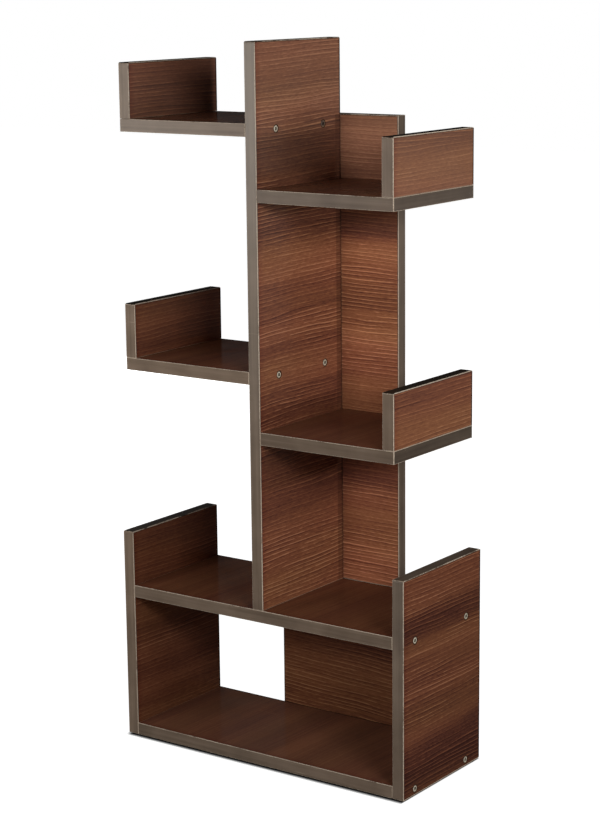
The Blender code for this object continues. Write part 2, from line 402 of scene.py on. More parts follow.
@dataclass(frozen=True)
class WalnutPrint:
    """The printed walnut figure: growth rings round a slanting heart, drawn as fine dark veins and
    light threads, with pores and broad tones.

    A drawn noise has its spots to a metre along the grain and across the rings, its detail and
    its roughness.
    """

    long_drift: Span = (5.0, 8.0)
    short_drift: Span = (30.0, 45.0)
    short_wave: float = 0.0005
    drift_swing: float = 2.0
    rings: float = 215.0
    ring_jitter: float = 1.5
    vein_lag: float = 1.9
    jitter: Four = (7.0, 70.0, 1.0, 0.5)
    streak: Four = (5.0, 260.0, 2.0, 0.5)
    broken: Four = (14.0, 250.0, 2.0, 0.6)
    speck: Four = (90.0, 500.0, 1.0, 0.5)
    dash: Four = (150.0, 900.0, 2.0, 0.6)
    calm: Four = (2.6, 24.0, 1.0, 0.5)
    broad: Four = (1.2, 30.0, 2.0, 0.45)
    pore: Four = (120.0, 2400.0, 1.0, 0.5)
    hue: Four = (1.6, 16.0, 1.0, 0.5)
    calm_step: Four = (0.40, 0.60, 0.42, 1.0)
    pore_step: Span = (0.62, 0.72)
    crest_step: Span = (0.60, 1.0)
    worn_step: Span = (0.32, 0.54)
    hollow_step: Span = (0.42, 1.0)
    broken_step: Span = (0.34, 0.60)
    level: float = 0.51
    thread_tone: float = 0.40
    vein_tone: float = 0.24
    streak_tone: float = 0.30
    broad_tone: float = 0.62
    pore_tone: float = 0.08
    speck_share: float = 0.35
    dash_base: float = 0.4
    dash_tone: float = 0.42
    dash_height: float = 0.6
    band_jitter: float = 0.010

    def group(self) -> Group:
        """Builds the effect.

        Returns:
            The node group.
        """
        numbers = ("Heart", "Heart depth", "Slant", "Tilt", "Wave", "Contrast")
        sheet = EffectSheet("walnut_figure", numbers, ("Cut",))
        given = sheet.given
        along, across, _ = given["Vector"].xyz()
        start, row, layer = given["Cut"].xyz()
        length = along + start

        def drift(spots: Span, swing: Value) -> Signal:
            """Soft noise that moves the rings sideways."""
            where = sheet.join(length * spots[0], (across + row) * spots[1], layer)
            return where.noise(detail=1.0).centred(self.drift_swing) * swing

        place = across - along * given["Tilt"] + drift(self.long_drift, given["Wave"])
        place = place + drift(self.short_drift, self.short_wave)
        side = place - given["Heart"]
        deep = given["Heart depth"] + along * given["Slant"]
        ring = sheet.math("SQRT", side * side + deep * deep) + row

        def drawn(noise: Four) -> Signal:
            """Noise drawn out along the grain."""
            where = sheet.join(length * noise[0], ring * noise[1], layer)
            return where.noise(1.0, *noise[2:])

        jitter = drawn(self.jitter)
        phase = (ring * self.rings + jitter.centred(self.ring_jitter)) * math.tau
        crest = sheet.math("SINE", phase)
        hollow = sheet.math("SINE", phase + self.vein_lag)
        broken = drawn(self.broken)
        dash = drawn(self.dash)
        pore = drawn(self.pore).ease(*self.pore_step)
        worn = broken + drawn(self.speck).centred(self.speck_share)
        ridge = crest.ease(*self.crest_step) * worn.ease(*self.worn_step)
        groove = hollow.ease(*self.hollow_step) * broken.ease(*self.broken_step)
        lively = drawn(self.calm).ease(*self.calm_step) * given["Contrast"]
        lines = (ridge * self.thread_tone - groove * self.vein_tone) * lively
        lines = lines + drawn(self.streak).centred(self.streak_tone)
        fine = (self.dash_base + given["Contrast"]) * self.dash_tone
        value = self.level + lines + dash.centred(fine) + drawn(self.broad).centred(self.broad_tone)
        return sheet.give(
            Value=value - pore * self.pore_tone,
            Hue=drawn(self.hue),
            Height=dash * self.dash_height - pore,
            Across=place + jitter.centred(self.band_jitter),
        )


@dataclass(frozen=True)
class Chipboard:
    """Pressed wood flakes, as bared in a drilled hole or on a raw end."""

    flakes: float = 620.0
    tone: Triple = (900.0, 2.0, 0.6)
    tone_swing: float = 0.7
    stops: Stops = (
        (0.1, (0.47, 0.33, 0.19)),
        (0.5, (0.33, 0.21, 0.11)),
        (0.9, (0.15, 0.09, 0.045)),
    )

    def group(self) -> Group:
        """Builds the effect.

        Returns:
            The node group.
        """
        sheet = EffectSheet("chipboard")
        place = sheet.given["Vector"]
        flake = sheet.add("TexVoronoi", {"Vector": place, "Scale": self.flakes}, "Distance")
        tone = place.noise(*self.tone).centred(self.tone_swing)
        value = sheet.math("ADD", tone, flake, use_clamp=True)
        return sheet.give(Color=sheet.ramp(value, self.stops), Height=value)


@dataclass(frozen=True)
class Scuffs:
    """Faint rubs, finger marks and hairline scratches on a handled surface."""

    rub: Triple = (21.0, 3.0, 0.55)
    rub_step: Span = (0.42, 0.70)
    scratched_step: Span = (0.5, 0.62)
    hairline_turn: Triple = (0.7, 0.4, 1.1)
    hairline_scale: Triple = (7.0, 620.0, 620.0)
    hairline_step: Span = (0.72, 0.76)

    def group(self) -> Group:
        """Builds the effect.

        Returns:
            The node group.
        """
        sheet = EffectSheet("scuffs")
        place = sheet.given["Vector"]
        rub = place.noise(*self.rub)
        drawn = place.mapped(Rotation=self.hairline_turn, Scale=self.hairline_scale)
        hairline = drawn.noise(detail=1.0).ease(*self.hairline_step)
        return sheet.give(Rub=rub.ease(*self.rub_step), Scratch=hairline * rub.ease(*self.scratched_step))


@dataclass
class Effects:
    """The shared node groups, each built once."""

    arris: Group = field(default_factory=arris_distance)
    ragged: Group = field(default_factory=lambda: RaggedLine().group())
    walnut: Group = field(default_factory=lambda: WalnutPrint().group())
    chipboard: Group = field(default_factory=lambda: Chipboard().group())
    scuffs: Group = field(default_factory=lambda: Scuffs().group())


class Finish(Sheet):
    """The sheet of a material, with its shader and the point on the surface."""

    def __init__(self, name: str, effects: "Effects | None" = None) -> None:
        """Starts the material.

        Args:
            name: The material's name.
            effects: The shared effects that it draws on.
        """
        self.effects = effects
        self.material = bpy.data.materials.new(name)
        self.material.use_nodes = True
        super().__init__(self.material.node_tree)
        self.place = self.add("TexCoord", out="Object")

    def mark(self, name: str) -> Signal:
        """What is written on the faces under a name."""
        return self.add("Attribute", out="Fac", attribute_name=name, attribute_type="GEOMETRY")

    def effect(self, name: str, vector: Signal | None = None, **inputs: Value) -> Signal:
        """Places one of the shared effects, by default at the point on the surface."""
        return self.group(getattr(self.effects, name), vector or self.place, **inputs)

    def worn_line(self, box: Box, width: float, cover: float) -> Signal:
        """A ragged line along the arrises of a box.

        Args:
            box: The box.
            width: How wide the line is.
            cover: How much of its length is there.

        Returns:
            The line's mask.
        """
        distance = self.effect("arris", low=box[0], high=box[1])
        return self.effect("ragged", distance=distance, width=width, cover=cover)

    def shade(self, specular: float = 0.5, **inputs: Value) -> Material:
        """Feeds the shader's inputs.

        Args:
            specular: How strong plain reflection is.
            **inputs: What feeds the other inputs, with underscores for spaces.

        Returns:
            The finished material.
        """
        sockets = self.tree.nodes["Principled BSDF"].inputs
        self.feed(sockets["Specular IOR Level"], specular)
        for name, value in inputs.items():
            self.feed(sockets[name.replace("_", " ").title()], value)
        return self.material


# Finishes


@dataclass(frozen=True)
class Figure:
    """Which cut of the walnut print lies on a board.

    Places are in the shared frame, across the grain. Each tone band has its place, half its width
    and how much darker it is. The tone lightens or darkens the whole board, partly its own shade
    and partly painted light and shade. The painted haze is a pale sheen laid over the colour in
    place of reflections. A rise is the height over which the painted haze or the gloss comes up.
    Above a given height a painted shade line runs down the back, and below it a painted shade
    lies in the corner.
    """

    grain: Grain
    cut: Triple = (0.0, 0.0, 0.0)
    heart: float = -0.45
    heart_depth: float = 0.20
    slant: float = 0.10
    tilt: float = 0.0
    wave: float = 0.004
    contrast: float = 1.0
    tone: float = 1.0
    fade: float = 0.0
    painted_haze_rise: Span | None = None
    back_shade_from: float = 0.0
    gloss_rise: Span | None = None
    gloss: float = 0.10
    gloss_roughness: float = 0.24
    bands: tuple[Triple, ...] = ()


TOP_CORNERS = ((Edge.HEAD, Edge.BACK), (Edge.HEAD, Edge.FRONT))
SIDE_PRINT = Figure(Grain.UPRIGHT_ALONG_DEPTH)
BACK_PRINT = Figure(Grain.UPRIGHT_ALONG_WIDTH)
TOP_PRINT = Figure(Grain.FLAT_ALONG_DEPTH, contrast=0.2, gloss=0.45, gloss_roughness=0.14)


@dataclass(frozen=True)
class CoreSides:
    """Where the lines on a core run: its box, that box with its bare sides moved far off and with
    its taped sides moved far off, and how deep its taped front and back lie, or far off."""

    core: Box
    taped: Box
    raw: Box
    ends: Span


@dataclass(frozen=True)
class WalnutLaminate:
    """Printed walnut paper under a satin melamine skin, on chipboard."""

    skin: float = 0.0004
    skin_edge: float = 0.8
    stops: Stops = (
        (0.06, (0.050, 0.017, 0.012)),
        (0.30, (0.113, 0.038, 0.023)),
        (0.52, (0.185, 0.066, 0.033)),
        (0.72, (0.258, 0.099, 0.048)),
        (0.96, (0.400, 0.182, 0.092)),
    )
    rubbed: Colour = (0.258, 0.099, 0.048)
    scratched: Colour = (0.400, 0.182, 0.092)
    # The colour of the painted haze, a pale sheen in place of reflections.
    painted_haze_colour: Colour = (0.260, 0.185, 0.145)
    red_hue: Colour = (1.02, 0.97, 0.99)
    golden_hue: Colour = (0.99, 1.03, 0.96)
    hue_step: Span = (0.35, 0.65)
    band_edge: Span = (1.25, 0.65)
    low_painted_haze: float = 0.1
    rub_share: float = 0.06
    scratch_share: float = 0.18
    joint_width: float = 0.0008
    joint_cover: float = 0.72
    # The joint lines' share and colour also paint the shade line down the back and the shade in the corner.
    joint_and_shade_share: float = 0.9
    joint_and_shade_colour: Colour = (0.045, 0.018, 0.011)
    # Painted shade: the width of the dark line down the back, and the edge and darkness of the corner shade.
    back_shade_width: float = 0.0020
    corner_shade_edge: Span = (0.011, 0.009)
    corner_shade_share: float = 0.38
    front_tint_width: float = 0.012
    front_tint: Colour = (0.78, 0.60, 0.68)
    front_share: float = 0.55
    raw_line_width: float = 0.0007
    raw_line_cover: float = 0.68
    raw_line_share: float = 0.75
    raw_line_colour: Colour = (0.42, 0.27, 0.18)
    # The crushed ring round each screw head is painted dark as the shade that lies in it.
    crushed_shade_colour: Colour = (0.022, 0.014, 0.010)
    crushed_shade_share: float = 0.9
    roughness: float = 0.46
    figure_roughness: float = -0.10
    rub_roughness: float = 0.10
    bared_roughness: float = 0.4
    rub_dulling: float = 0.4
    skin_relief: float = 0.00006
    flake_relief: float = 0.0004

    def material(self, sheet: Finish, figure: Figure, sides: CoreSides) -> Material:
        """The finish of one board's core.

        Args:
            sheet: The material's sheet.
            figure: The board's cut of the print.
            sides: Where its lines run.

        Returns:
            The material.
        """
        height = sheet.place.xyz()[Edge.HEAD.axis]
        turned = sheet.place.mapped(Rotation=tuple(Matrix(figure.grain.value).to_euler()))
        names = ("cut", "heart", "heart_depth", "slant", "tilt", "wave", "contrast")
        walnut = sheet.effect("walnut", turned, **{name: getattr(figure, name) for name in names})
        scuffs = sheet.effect("scuffs")
        flakes = sheet.effect("chipboard")
        thin = thin_axis(sides.core)
        level = sheet.place.xyz()[thin]
        from_skin = (level - sides.core[0][thin]).least(sides.core[1][thin] - level)
        bared = from_skin.ease(self.skin * self.skin_edge, self.skin)
        covered = 1.0 - bared

        value = walnut["Value"]
        for middle, half, depth in figure.bands:
            off = (walnut["Across"] - middle).unsigned()
            value = value - off.ease(half * self.band_edge[0], half * self.band_edge[1]) * depth
        colour = self.printed(sheet, value, walnut["Hue"], height, figure)
        colour = colour.under(scuffs["Rub"] * self.rub_share, self.rubbed)
        colour = colour.under(scuffs["Scratch"] * self.scratch_share, self.scratched)
        colour = self.lined(sheet, colour, height, figure.back_shade_from, sides)
        colour = colour.under(bared, flakes["Color"])
        # Painted shade: the crushed ring round each screw is darkened.
        crushed_shade = sheet.mark("bored") * covered
        colour = colour.under(crushed_shade * self.crushed_shade_share, self.crushed_shade_colour)

        rough = self.roughness + value.centred(self.figure_roughness)
        rough = rough + scuffs["Rub"] * self.rub_roughness + bared * self.bared_roughness
        shine = covered * figure.gloss * (1.0 - scuffs["Rub"] * self.rub_dulling)
        if figure.gloss_rise:
            shine = shine * height.ease(*figure.gloss_rise)
        relief = walnut["Height"].bump(self.skin_relief)
        relief = (flakes["Height"] * bared).bump(self.flake_relief, Normal=relief)
        coat = {"coat_weight": shine, "coat_roughness": figure.gloss_roughness}
        return sheet.shade(0.0, base_color=colour, roughness=rough, normal=relief, **coat)

    def printed(self, sheet: Finish, value: Signal, hue: Signal, height: Signal, figure: Figure) -> Signal:
        """The print's colour, toned partly with painted light and shade, and with a painted haze in place of
        reflections.

        Args:
            sheet: The material's sheet.
            value: The figure's value.
            hue: The figure's hue, from red to golden.
            height: The height in the shared frame.
            figure: The board's cut of the print.

        Returns:
            The colour.
        """
        colour = sheet.ramp(value, self.stops)
        colour = colour.times(sheet.mix(hue.ease(*self.hue_step), self.red_hue, self.golden_hue))
        # Painted haze: a pale sheen in place of reflections, rising with height where a rise is given.
        fade: Value = figure.fade
        if figure.painted_haze_rise:
            fade = height.ease(*figure.painted_haze_rise, figure.fade * self.low_painted_haze, figure.fade)
        # The tone lightens or darkens the whole board, partly the board's own shade and partly painted light
        # and shade.
        return colour.times((figure.tone,) * 3).under(fade, self.painted_haze_colour)

    def lined(self, sheet: Finish, colour: Signal, height: Signal, start: float, sides: CoreSides) -> Signal:
        """Draws the joint lines, the painted shade line down the back, the painted corner shade, the front
        tint and the raw line.

        Args:
            sheet: The material's sheet.
            colour: The print's colour.
            height: The height in the shared frame.
            start: The height above which a painted shade line runs down the back, and below which a painted
                shade lies in the corner.
            sides: Where the lines run.

        Returns:
            The colour with its lines.
        """
        joint = sheet.worn_line(sides.taped, self.joint_width, self.joint_cover)
        colour = colour.under(joint * self.joint_and_shade_share, self.joint_and_shade_colour)
        depth = sheet.place.xyz()[Edge.BACK.axis]
        behind = sides.ends[1] - depth
        above = height.ease(start - MILLIMETRE, start + MILLIMETRE)
        # Painted shade: a dark line along the board's taped back edge.
        line = behind.ease(self.back_shade_width, self.back_shade_width / 2) * above
        colour = colour.under(line * self.joint_and_shade_share, self.joint_and_shade_colour)
        # Painted shade in the corner where the upright meets the back panel, below the given height.
        if start:
            corner = behind.ease(*self.corner_shade_edge) * (1.0 - above)
            colour = colour.under(corner * self.corner_shade_share, self.joint_and_shade_colour)
        flush = (depth - sides.ends[0]).ease(self.front_tint_width, 0.0)
        colour = colour.under(flush * self.front_share, colour.times(self.front_tint))
        cut_line = sheet.worn_line(sides.raw, self.raw_line_width, self.raw_line_cover)
        return colour.under(cut_line * self.raw_line_share, self.raw_line_colour)


@dataclass(frozen=True)
class StripLook:
    """How light one strip of tape is, a tone that paints in the light and shade falling on that side
    of the board, how much of its trimmed arrises shows pale, how much painted sheen lies on it at
    its low and at its high end, how much of its polish is left, and how light the painted shade
    leaves its flanks beside its face."""

    tone: float = 1.0
    trim_cover: float = 0.62
    painted_sheen: Span = (0.0, 0.0)
    polish: float = 1.0
    flank_shade: float = 1.0


# Tones paint in light and shade: the tops darker and the left and right sides darker than the front, as less
# light falls there; the back tapes' flanks carry painted shade.
STRIP_LOOKS = {
    Edge.FRONT: StripLook(),
    Edge.HEAD: StripLook(tone=0.34, trim_cover=0.55),
    Edge.BACK: StripLook(tone=0.85, trim_cover=0.0, polish=0.0, flank_shade=0.14),
    Edge.FOOT: StripLook(tone=0.80, trim_cover=1.00),
    Edge.LEFT: StripLook(tone=0.70, trim_cover=0.45),
    Edge.RIGHT: StripLook(tone=0.80, trim_cover=0.55),
}


@dataclass(frozen=True)
class EdgeTape:
    """Taupe plastic edge tape, one millimetre thick, with pale trimmed arrises."""

    thickness: float = 0.001
    arris: float = 0.0005
    arris_segments: int = 4
    butt_arris: float = 0.0002
    butt_segments: int = 2
    trim_width: float = 0.0006
    stops: Stops = (
        (0.2, (0.130, 0.091, 0.063)),
        (0.5, (0.178, 0.127, 0.089)),
        (0.8, (0.225, 0.163, 0.117)),
    )
    painted_sheen_colour: Colour = (0.42, 0.38, 0.33)
    trim: Colour = (0.60, 0.49, 0.38)
    across_run: float = 300.0
    along_run: float = 6.0
    pull: Triple = (1.0, 2.0, 0.55)
    pull_swing: float = 0.9
    mottle: Triple = (26.0, 3.0, 0.5)
    mottle_swing: float = 0.8
    flank_shade_edge: Span = (0.00005, 0.0003)
    scratch_share: float = 0.35
    roughness: float = 0.40
    rub_roughness: float = 0.12
    trim_roughness: float = 0.2
    gloss: float = 0.45
    trim_gloss: float = 0.2
    gloss_roughness: float = 0.30
    peel: float = 900.0
    pull_peel: float = 0.8
    relief: float = 0.00004

    def material(self, sheet: Finish, edge: Edge, strip: Box, look: StripLook) -> Material:
        """The finish of one strip of tape.

        Args:
            sheet: The material's sheet.
            edge: The side of the board that it covers.
            strip: The strip's box.
            look: How this strip differs from the others.

        Returns:
            The material.
        """
        place = sheet.place
        run = long_axis(strip)
        stretch = [self.across_run] * 3
        stretch[run] = self.along_run
        pull = place.mapped(Scale=stretch).noise(*self.pull)
        value = 0.5 + pull.centred(self.pull_swing) + place.noise(*self.mottle).centred(self.mottle_swing)
        # The look's tone paints in the light and shade on this side of the board.
        colour = sheet.ramp(value, self.stops).times((look.tone,) * 3)
        # Painted sheen: a pale haze that rises from one end of the strip to the other.
        if any(look.painted_sheen):
            painted_sheen = place.xyz()[run].ease(strip[0][run], strip[1][run], *look.painted_sheen)
            colour = colour.under(painted_sheen, self.painted_sheen_colour)
        # Painted shade on the strip's flanks beside its face.
        if look.flank_shade < 1.0:
            below = (place.xyz()[edge.axis] - edge.wall(strip)).unsigned()
            shade = below.ease(*self.flank_shade_edge, 1.0, look.flank_shade)
            colour = colour.times(sheet.join(shade, shade, shade))
        scuffs = sheet.effect("scuffs")
        colour = colour.under(scuffs["Scratch"] * self.scratch_share, self.trim)
        trim = sheet.worn_line(strip, self.trim_width, look.trim_cover)
        polish = self.gloss * look.polish
        return sheet.shade(
            0.0,
            base_color=colour.under(trim, self.trim),
            roughness=self.roughness + scuffs["Rub"] * self.rub_roughness + trim * self.trim_roughness,
            coat_weight=trim.ease(0.0, 1.0, polish, polish * self.trim_gloss),
            coat_roughness=self.gloss_roughness,
            normal=(place.noise(self.peel) + pull * self.pull_peel).bump(self.relief),
        )


@dataclass(frozen=True)
class NickelPlate:
    """Dull nickel on steel, painted dark with shade and grime in the socket, on the head's slope and down the
    shank.
    """

    bright: Colour = (0.95, 0.86, 0.68)
    dull: Colour = (0.74, 0.65, 0.49)
    # The colour of the painted shade and grime.
    shade_and_grime_colour: Colour = (0.030, 0.022, 0.016)
    metallic: float = 0.25
    roughness: float = 0.42
    cloud: Triple = (420.0, 3.0, 0.6)
    cloud_step: Span = (0.35, 0.68)
    cloud_roughness: float = 0.35
    shade_and_grime: float = 900.0
    shade_and_grime_step: Four = (0.2, 0.75, 1.0, 0.6)
    shade_and_grime_roughness: float = 0.3
    drag: Triple = (2600.0, 900.0, 2600.0)
    relief: float = 0.00002

    def material(self, sheet: Finish) -> Material:
        """The finish of the screws.

        Args:
            sheet: The material's sheet.

        Returns:
            The material.
        """
        place = sheet.place
        cloud = place.noise(*self.cloud)
        # Painted shade and grime on the marked faces.
        shade_and_grime = sheet.mark("recess") * place.noise(self.shade_and_grime).ease(*self.shade_and_grime_step)
        colour = sheet.mix(cloud.ease(*self.cloud_step), self.bright, self.dull)
        rough = self.roughness + cloud.centred(self.cloud_roughness) + shade_and_grime * self.shade_and_grime_roughness
        return sheet.shade(
            base_color=colour.under(shade_and_grime, self.shade_and_grime_colour),
            metallic=self.metallic,
            roughness=rough,
            normal=place.mapped(Scale=self.drag).noise(detail=1.0).bump(self.relief),
        )


@dataclass(frozen=True)
class GlidePlastic:
    """Black moulded plastic, scuffed grey where it slides."""

    black: Colour = (0.018, 0.018, 0.019)
    scuffed: Colour = (0.10, 0.095, 0.09)
    roughness: float = 0.5
    rub_roughness: float = 0.1
    worn_roughness: float = 0.25
    worn_height: float = 0.0006
    grit: Triple = (800.0, 3.0, 0.6)
    grit_step: Span = (0.35, 0.65)
    relief: float = 0.00005

    def material(self, sheet: Finish) -> Material:
        """The finish of the glide feet.

        Args:
            sheet: The material's sheet.

        Returns:
            The material.
        """
        height = sheet.place.xyz()[Edge.HEAD.axis] - CAD_BOX[0].z
        grit = sheet.place.noise(*self.grit)
        worn = height.ease(self.worn_height, 0.0) * grit.ease(*self.grit_step)
        rub = sheet.effect("scuffs")["Rub"]
        return sheet.shade(
            base_color=sheet.mix(worn, self.black, self.scuffed),
            roughness=self.roughness + rub * self.rub_roughness + worn * self.worn_roughness,
            normal=grit.bump(self.relief),
        )


# Boxes


def extent(box: Box, axis: int) -> float:
    """How long a box is along an axis."""
    return box[1][axis] - box[0][axis]


def thin_axis(box: Box) -> int:
    """The axis along which a box is thinnest."""
    return min(range(3), key=lambda axis: extent(box, axis))


def long_axis(box: Box) -> int:
    """The axis along which a box is longest."""
    return max(range(3), key=lambda axis: extent(box, axis))


def piece_box(piece: Piece) -> Box:
    """Measures a piece's mesh.

    Args:
        piece: The piece.

    Returns:
        The box round it.
    """
    places = [vertex.co for vertex in piece.data.vertices]
    low, high = (Vector([pick(co[axis] for co in places) for axis in range(3)]) for pick in (min, max))
    return low, high


def boxes_meet(one: Box, other: Box) -> bool:
    """Tests whether two boxes share some room.

    Args:
        one: A box.
        other: Another box.

    Returns:
        True if they do.
    """
    return all(
        one[0][axis] < other[1][axis] - TOUCH and other[0][axis] < one[1][axis] - TOUCH for axis in range(3)
    )


def moved(box: Box, edge: Edge, level: float) -> Box:
    """Moves one side of a box to a level.

    Args:
        box: The box.
        edge: The side.
        level: Where it goes.

    Returns:
        The new box.
    """
    corners = (box[0].copy(), box[1].copy())
    corners[1 if edge.sign > 0 else 0][edge.axis] = level
    return corners


def slab(box: Box, edge: Edge, thickness: float) -> tuple[Box, Box]:
    """Cuts a slab off one side of a box. Returns the slab and the rest, each as a box."""
    level = edge.wall(box) - edge.sign * thickness
    return moved(box, edge.opposite, level), moved(box, edge, level)


# Modelling


def only(piece: Piece) -> None:
    """Selects one object and nothing else, and makes it active.

    Args:
        piece: The piece.
    """
    bpy.ops.object.select_all(action="DESELECT")
    piece.select_set(True)
    bpy.context.view_layer.objects.active = piece


@contextmanager
def editing(piece: Piece) -> Iterator[None]:
    """Edit mode on one piece, with no edge selected at the start. Object mode is back at the end.

    Args:
        piece: The piece.

    Returns:
        A context in which the piece is in edit mode.
    """
    only(piece)
    bpy.ops.object.mode_set(mode="EDIT")
    bpy.ops.mesh.select_mode(type="EDGE")
    bpy.ops.mesh.select_all(action="DESELECT")
    try:
        yield
    finally:
        bpy.ops.object.mode_set(mode="OBJECT")


def pick_edges(piece: Piece, test: Callable[[MeshEdge], bool]) -> None:
    """Selects the edges that pass a test, on a piece in edit mode.

    Args:
        piece: The piece.
        test: Says whether an edge passes.
    """
    mesh = bmesh.from_edit_mesh(piece.data)
    for edge in mesh.edges:
        if test(edge):
            edge.select_set(True)
    mesh.select_flush_mode()
    bmesh.update_edit_mesh(piece.data)


def close_up() -> None:
    """Turns all faces of the mesh in edit mode outwards."""
    bpy.ops.mesh.select_all(action="SELECT")
    bpy.ops.mesh.normals_make_consistent(inside=False)


def apply_modifiers(piece: Piece) -> None:
    """Applies every modifier of a piece, in order.

    Args:
        piece: The piece.
    """
    only(piece)
    for modifier in list(piece.modifiers):
        bpy.ops.object.modifier_apply(modifier=modifier.name)


def settle(piece: Piece) -> None:
    """Puts a piece's place, turn and scale into its mesh."""
    only(piece)
    bpy.ops.object.transform_apply(location=True, rotation=True, scale=True)


def smooth(piece: Piece) -> None:
    """Smooth shading up to an angle, with the large faces kept flat.

    Args:
        piece: The piece.
    """
    only(piece)
    bpy.ops.object.shade_smooth_by_angle(angle=SMOOTH_ANGLE)
    piece.modifiers.new("flat faces", "WEIGHTED_NORMAL").keep_sharp = True
    apply_modifiers(piece)


def primitive(name: str, operator: Callable, **settings: object) -> Piece:
    """Adds a mesh primitive with nothing else selected.

    Args:
        name: The piece's name.
        operator: Blender's operator.
        **settings: What it is given.

    Returns:
        The new piece.
    """
    bpy.ops.object.select_all(action="DESELECT")
    operator(**settings)
    bpy.context.object.name = name
    return bpy.context.object


def add_block(name: str, box: Box) -> Piece:
    """Adds a cube primitive at the size and place of a box.

    Args:
        name: The piece's name.
        box: The box.

    Returns:
        The piece.
    """
    block = primitive(name, bpy.ops.mesh.primitive_cube_add, size=1, location=(box[0] + box[1]) / 2)
    block.scale = box[1] - box[0]
    settle(block)
    return block


def bevel(width: float, segments: int) -> None:
    """Bevels the edges that are selected in edit mode."""
    bpy.ops.mesh.bevel(offset_type="OFFSET", offset=width, segments=segments, affect="EDGES")


def turned_solid(name: str, profile: Sequence[Span], sides: int) -> Piece:
    """A solid of revolution about Z: one ring, extruded and resized down a profile.

    Args:
        name: The piece's name.
        profile: Radii and heights, from the top down.
        sides: How many sides the ring has.

    Returns:
        The closed solid.
    """
    radius, height = profile[0]
    ring = bpy.ops.mesh.primitive_circle_add
    piece = primitive(name, ring, vertices=sides, radius=radius, fill_type="NOTHING", location=(0, 0, height))
    settle(piece)
    with editing(piece):
        bpy.ops.mesh.select_all(action="SELECT")
        bpy.ops.mesh.edge_face_add()
        bpy.ops.mesh.select_all(action="DESELECT")
        pick_edges(piece, lambda edge: True)
        for wide, level in profile[1:]:
            bpy.ops.mesh.extrude_edges_move(TRANSFORM_OT_translate={"value": (0, 0, level - height)})
            growth = wide / radius
            bpy.ops.transform.resize(value=(growth, growth, 1), center_override=(0, 0, level))
            radius, height = wide, level
        bpy.ops.mesh.edge_face_add()
        close_up()
    return piece


def copy_piece(source: Piece, name: str, matrix: Matrix) -> Piece:
    """Copies a piece with a mesh of its own.

    Args:
        source: What is copied.
        name: The copy's name.
        matrix: What is put into its mesh.

    Returns:
        The copy.
    """
    piece = bpy.data.objects.new(name, source.data.copy())
    piece.data.name = name
    piece.data.transform(matrix)
    bpy.context.scene.collection.objects.link(piece)
    return piece


def combine(piece: Piece, tool: Piece, operation: str = "DIFFERENCE") -> None:
    """Cuts one solid out of another or joins it on, and removes it.

    Args:
        piece: The solid that stays.
        tool: The one that goes.
        operation: How they combine.
    """
    step = piece.modifiers.new("combine", "BOOLEAN")
    step.operation = operation
    step.solver = "EXACT"
    step.object = tool
    apply_modifiers(piece)
    bpy.data.objects.remove(tool, do_unlink=True)


def mark_faces(piece: Piece, name: str, test: Callable[[list[Vector]], bool]) -> None:
    """Writes one or nought on each face, for the finish to read.

    Args:
        piece: The piece.
        name: The attribute's name.
        test: Says from a face's corners whether it is marked.
    """
    mesh = piece.data
    marks = mesh.attributes.new(name, "FLOAT", "FACE")
    for face in mesh.polygons:
        corners = [mesh.vertices[corner].co for corner in face.vertices]
        marks.data[face.index].value = 1.0 if test(corners) else 0.0


def hand_in(piece: Piece, material: Material, node: str = "") -> None:
    """Dresses a finished piece and ties it to the frame.

    Args:
        piece: The piece.
        material: Its finish.
        node: The CAD node that it stands for, if it does.
    """
    piece.data.materials.clear()
    piece.data.materials.append(material)
    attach(piece, BODY)
    if node:
        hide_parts(node)
    log.info("%s: %d faces", piece.name, len(piece.data.polygons))


# Screws and feet


@dataclass(frozen=True)
class Pattern:
    """A modelled screw or foot, the cutter of its hole, its copies' last name, and a slot name that is not
    used.
    """

    piece: Piece
    cutter: Piece
    ending: str
    slot: str


@dataclass(frozen=True)
class Seat:
    """Where a screw or a foot goes: its pattern, the point on its axis at its outer face, the way
    that it looks and the room that it takes."""

    pattern: Pattern
    point: Vector
    outward: Vector
    reach: Box

    @property
    def matrix(self) -> Matrix:
        """Stands a turned piece in the seat, its axis along the seat's."""
        return Matrix.Translation(self.point) @ self.outward.to_track_quat("Z", "Y").to_matrix().to_4x4()

    def rings(self, corners: list[Vector], radius: float) -> bool:
        """True for a face that lies within a radius of the seat's axis."""
        off = [corner - self.point for corner in corners]
        return all((way - way.dot(self.outward) * self.outward).length < radius for way in off)


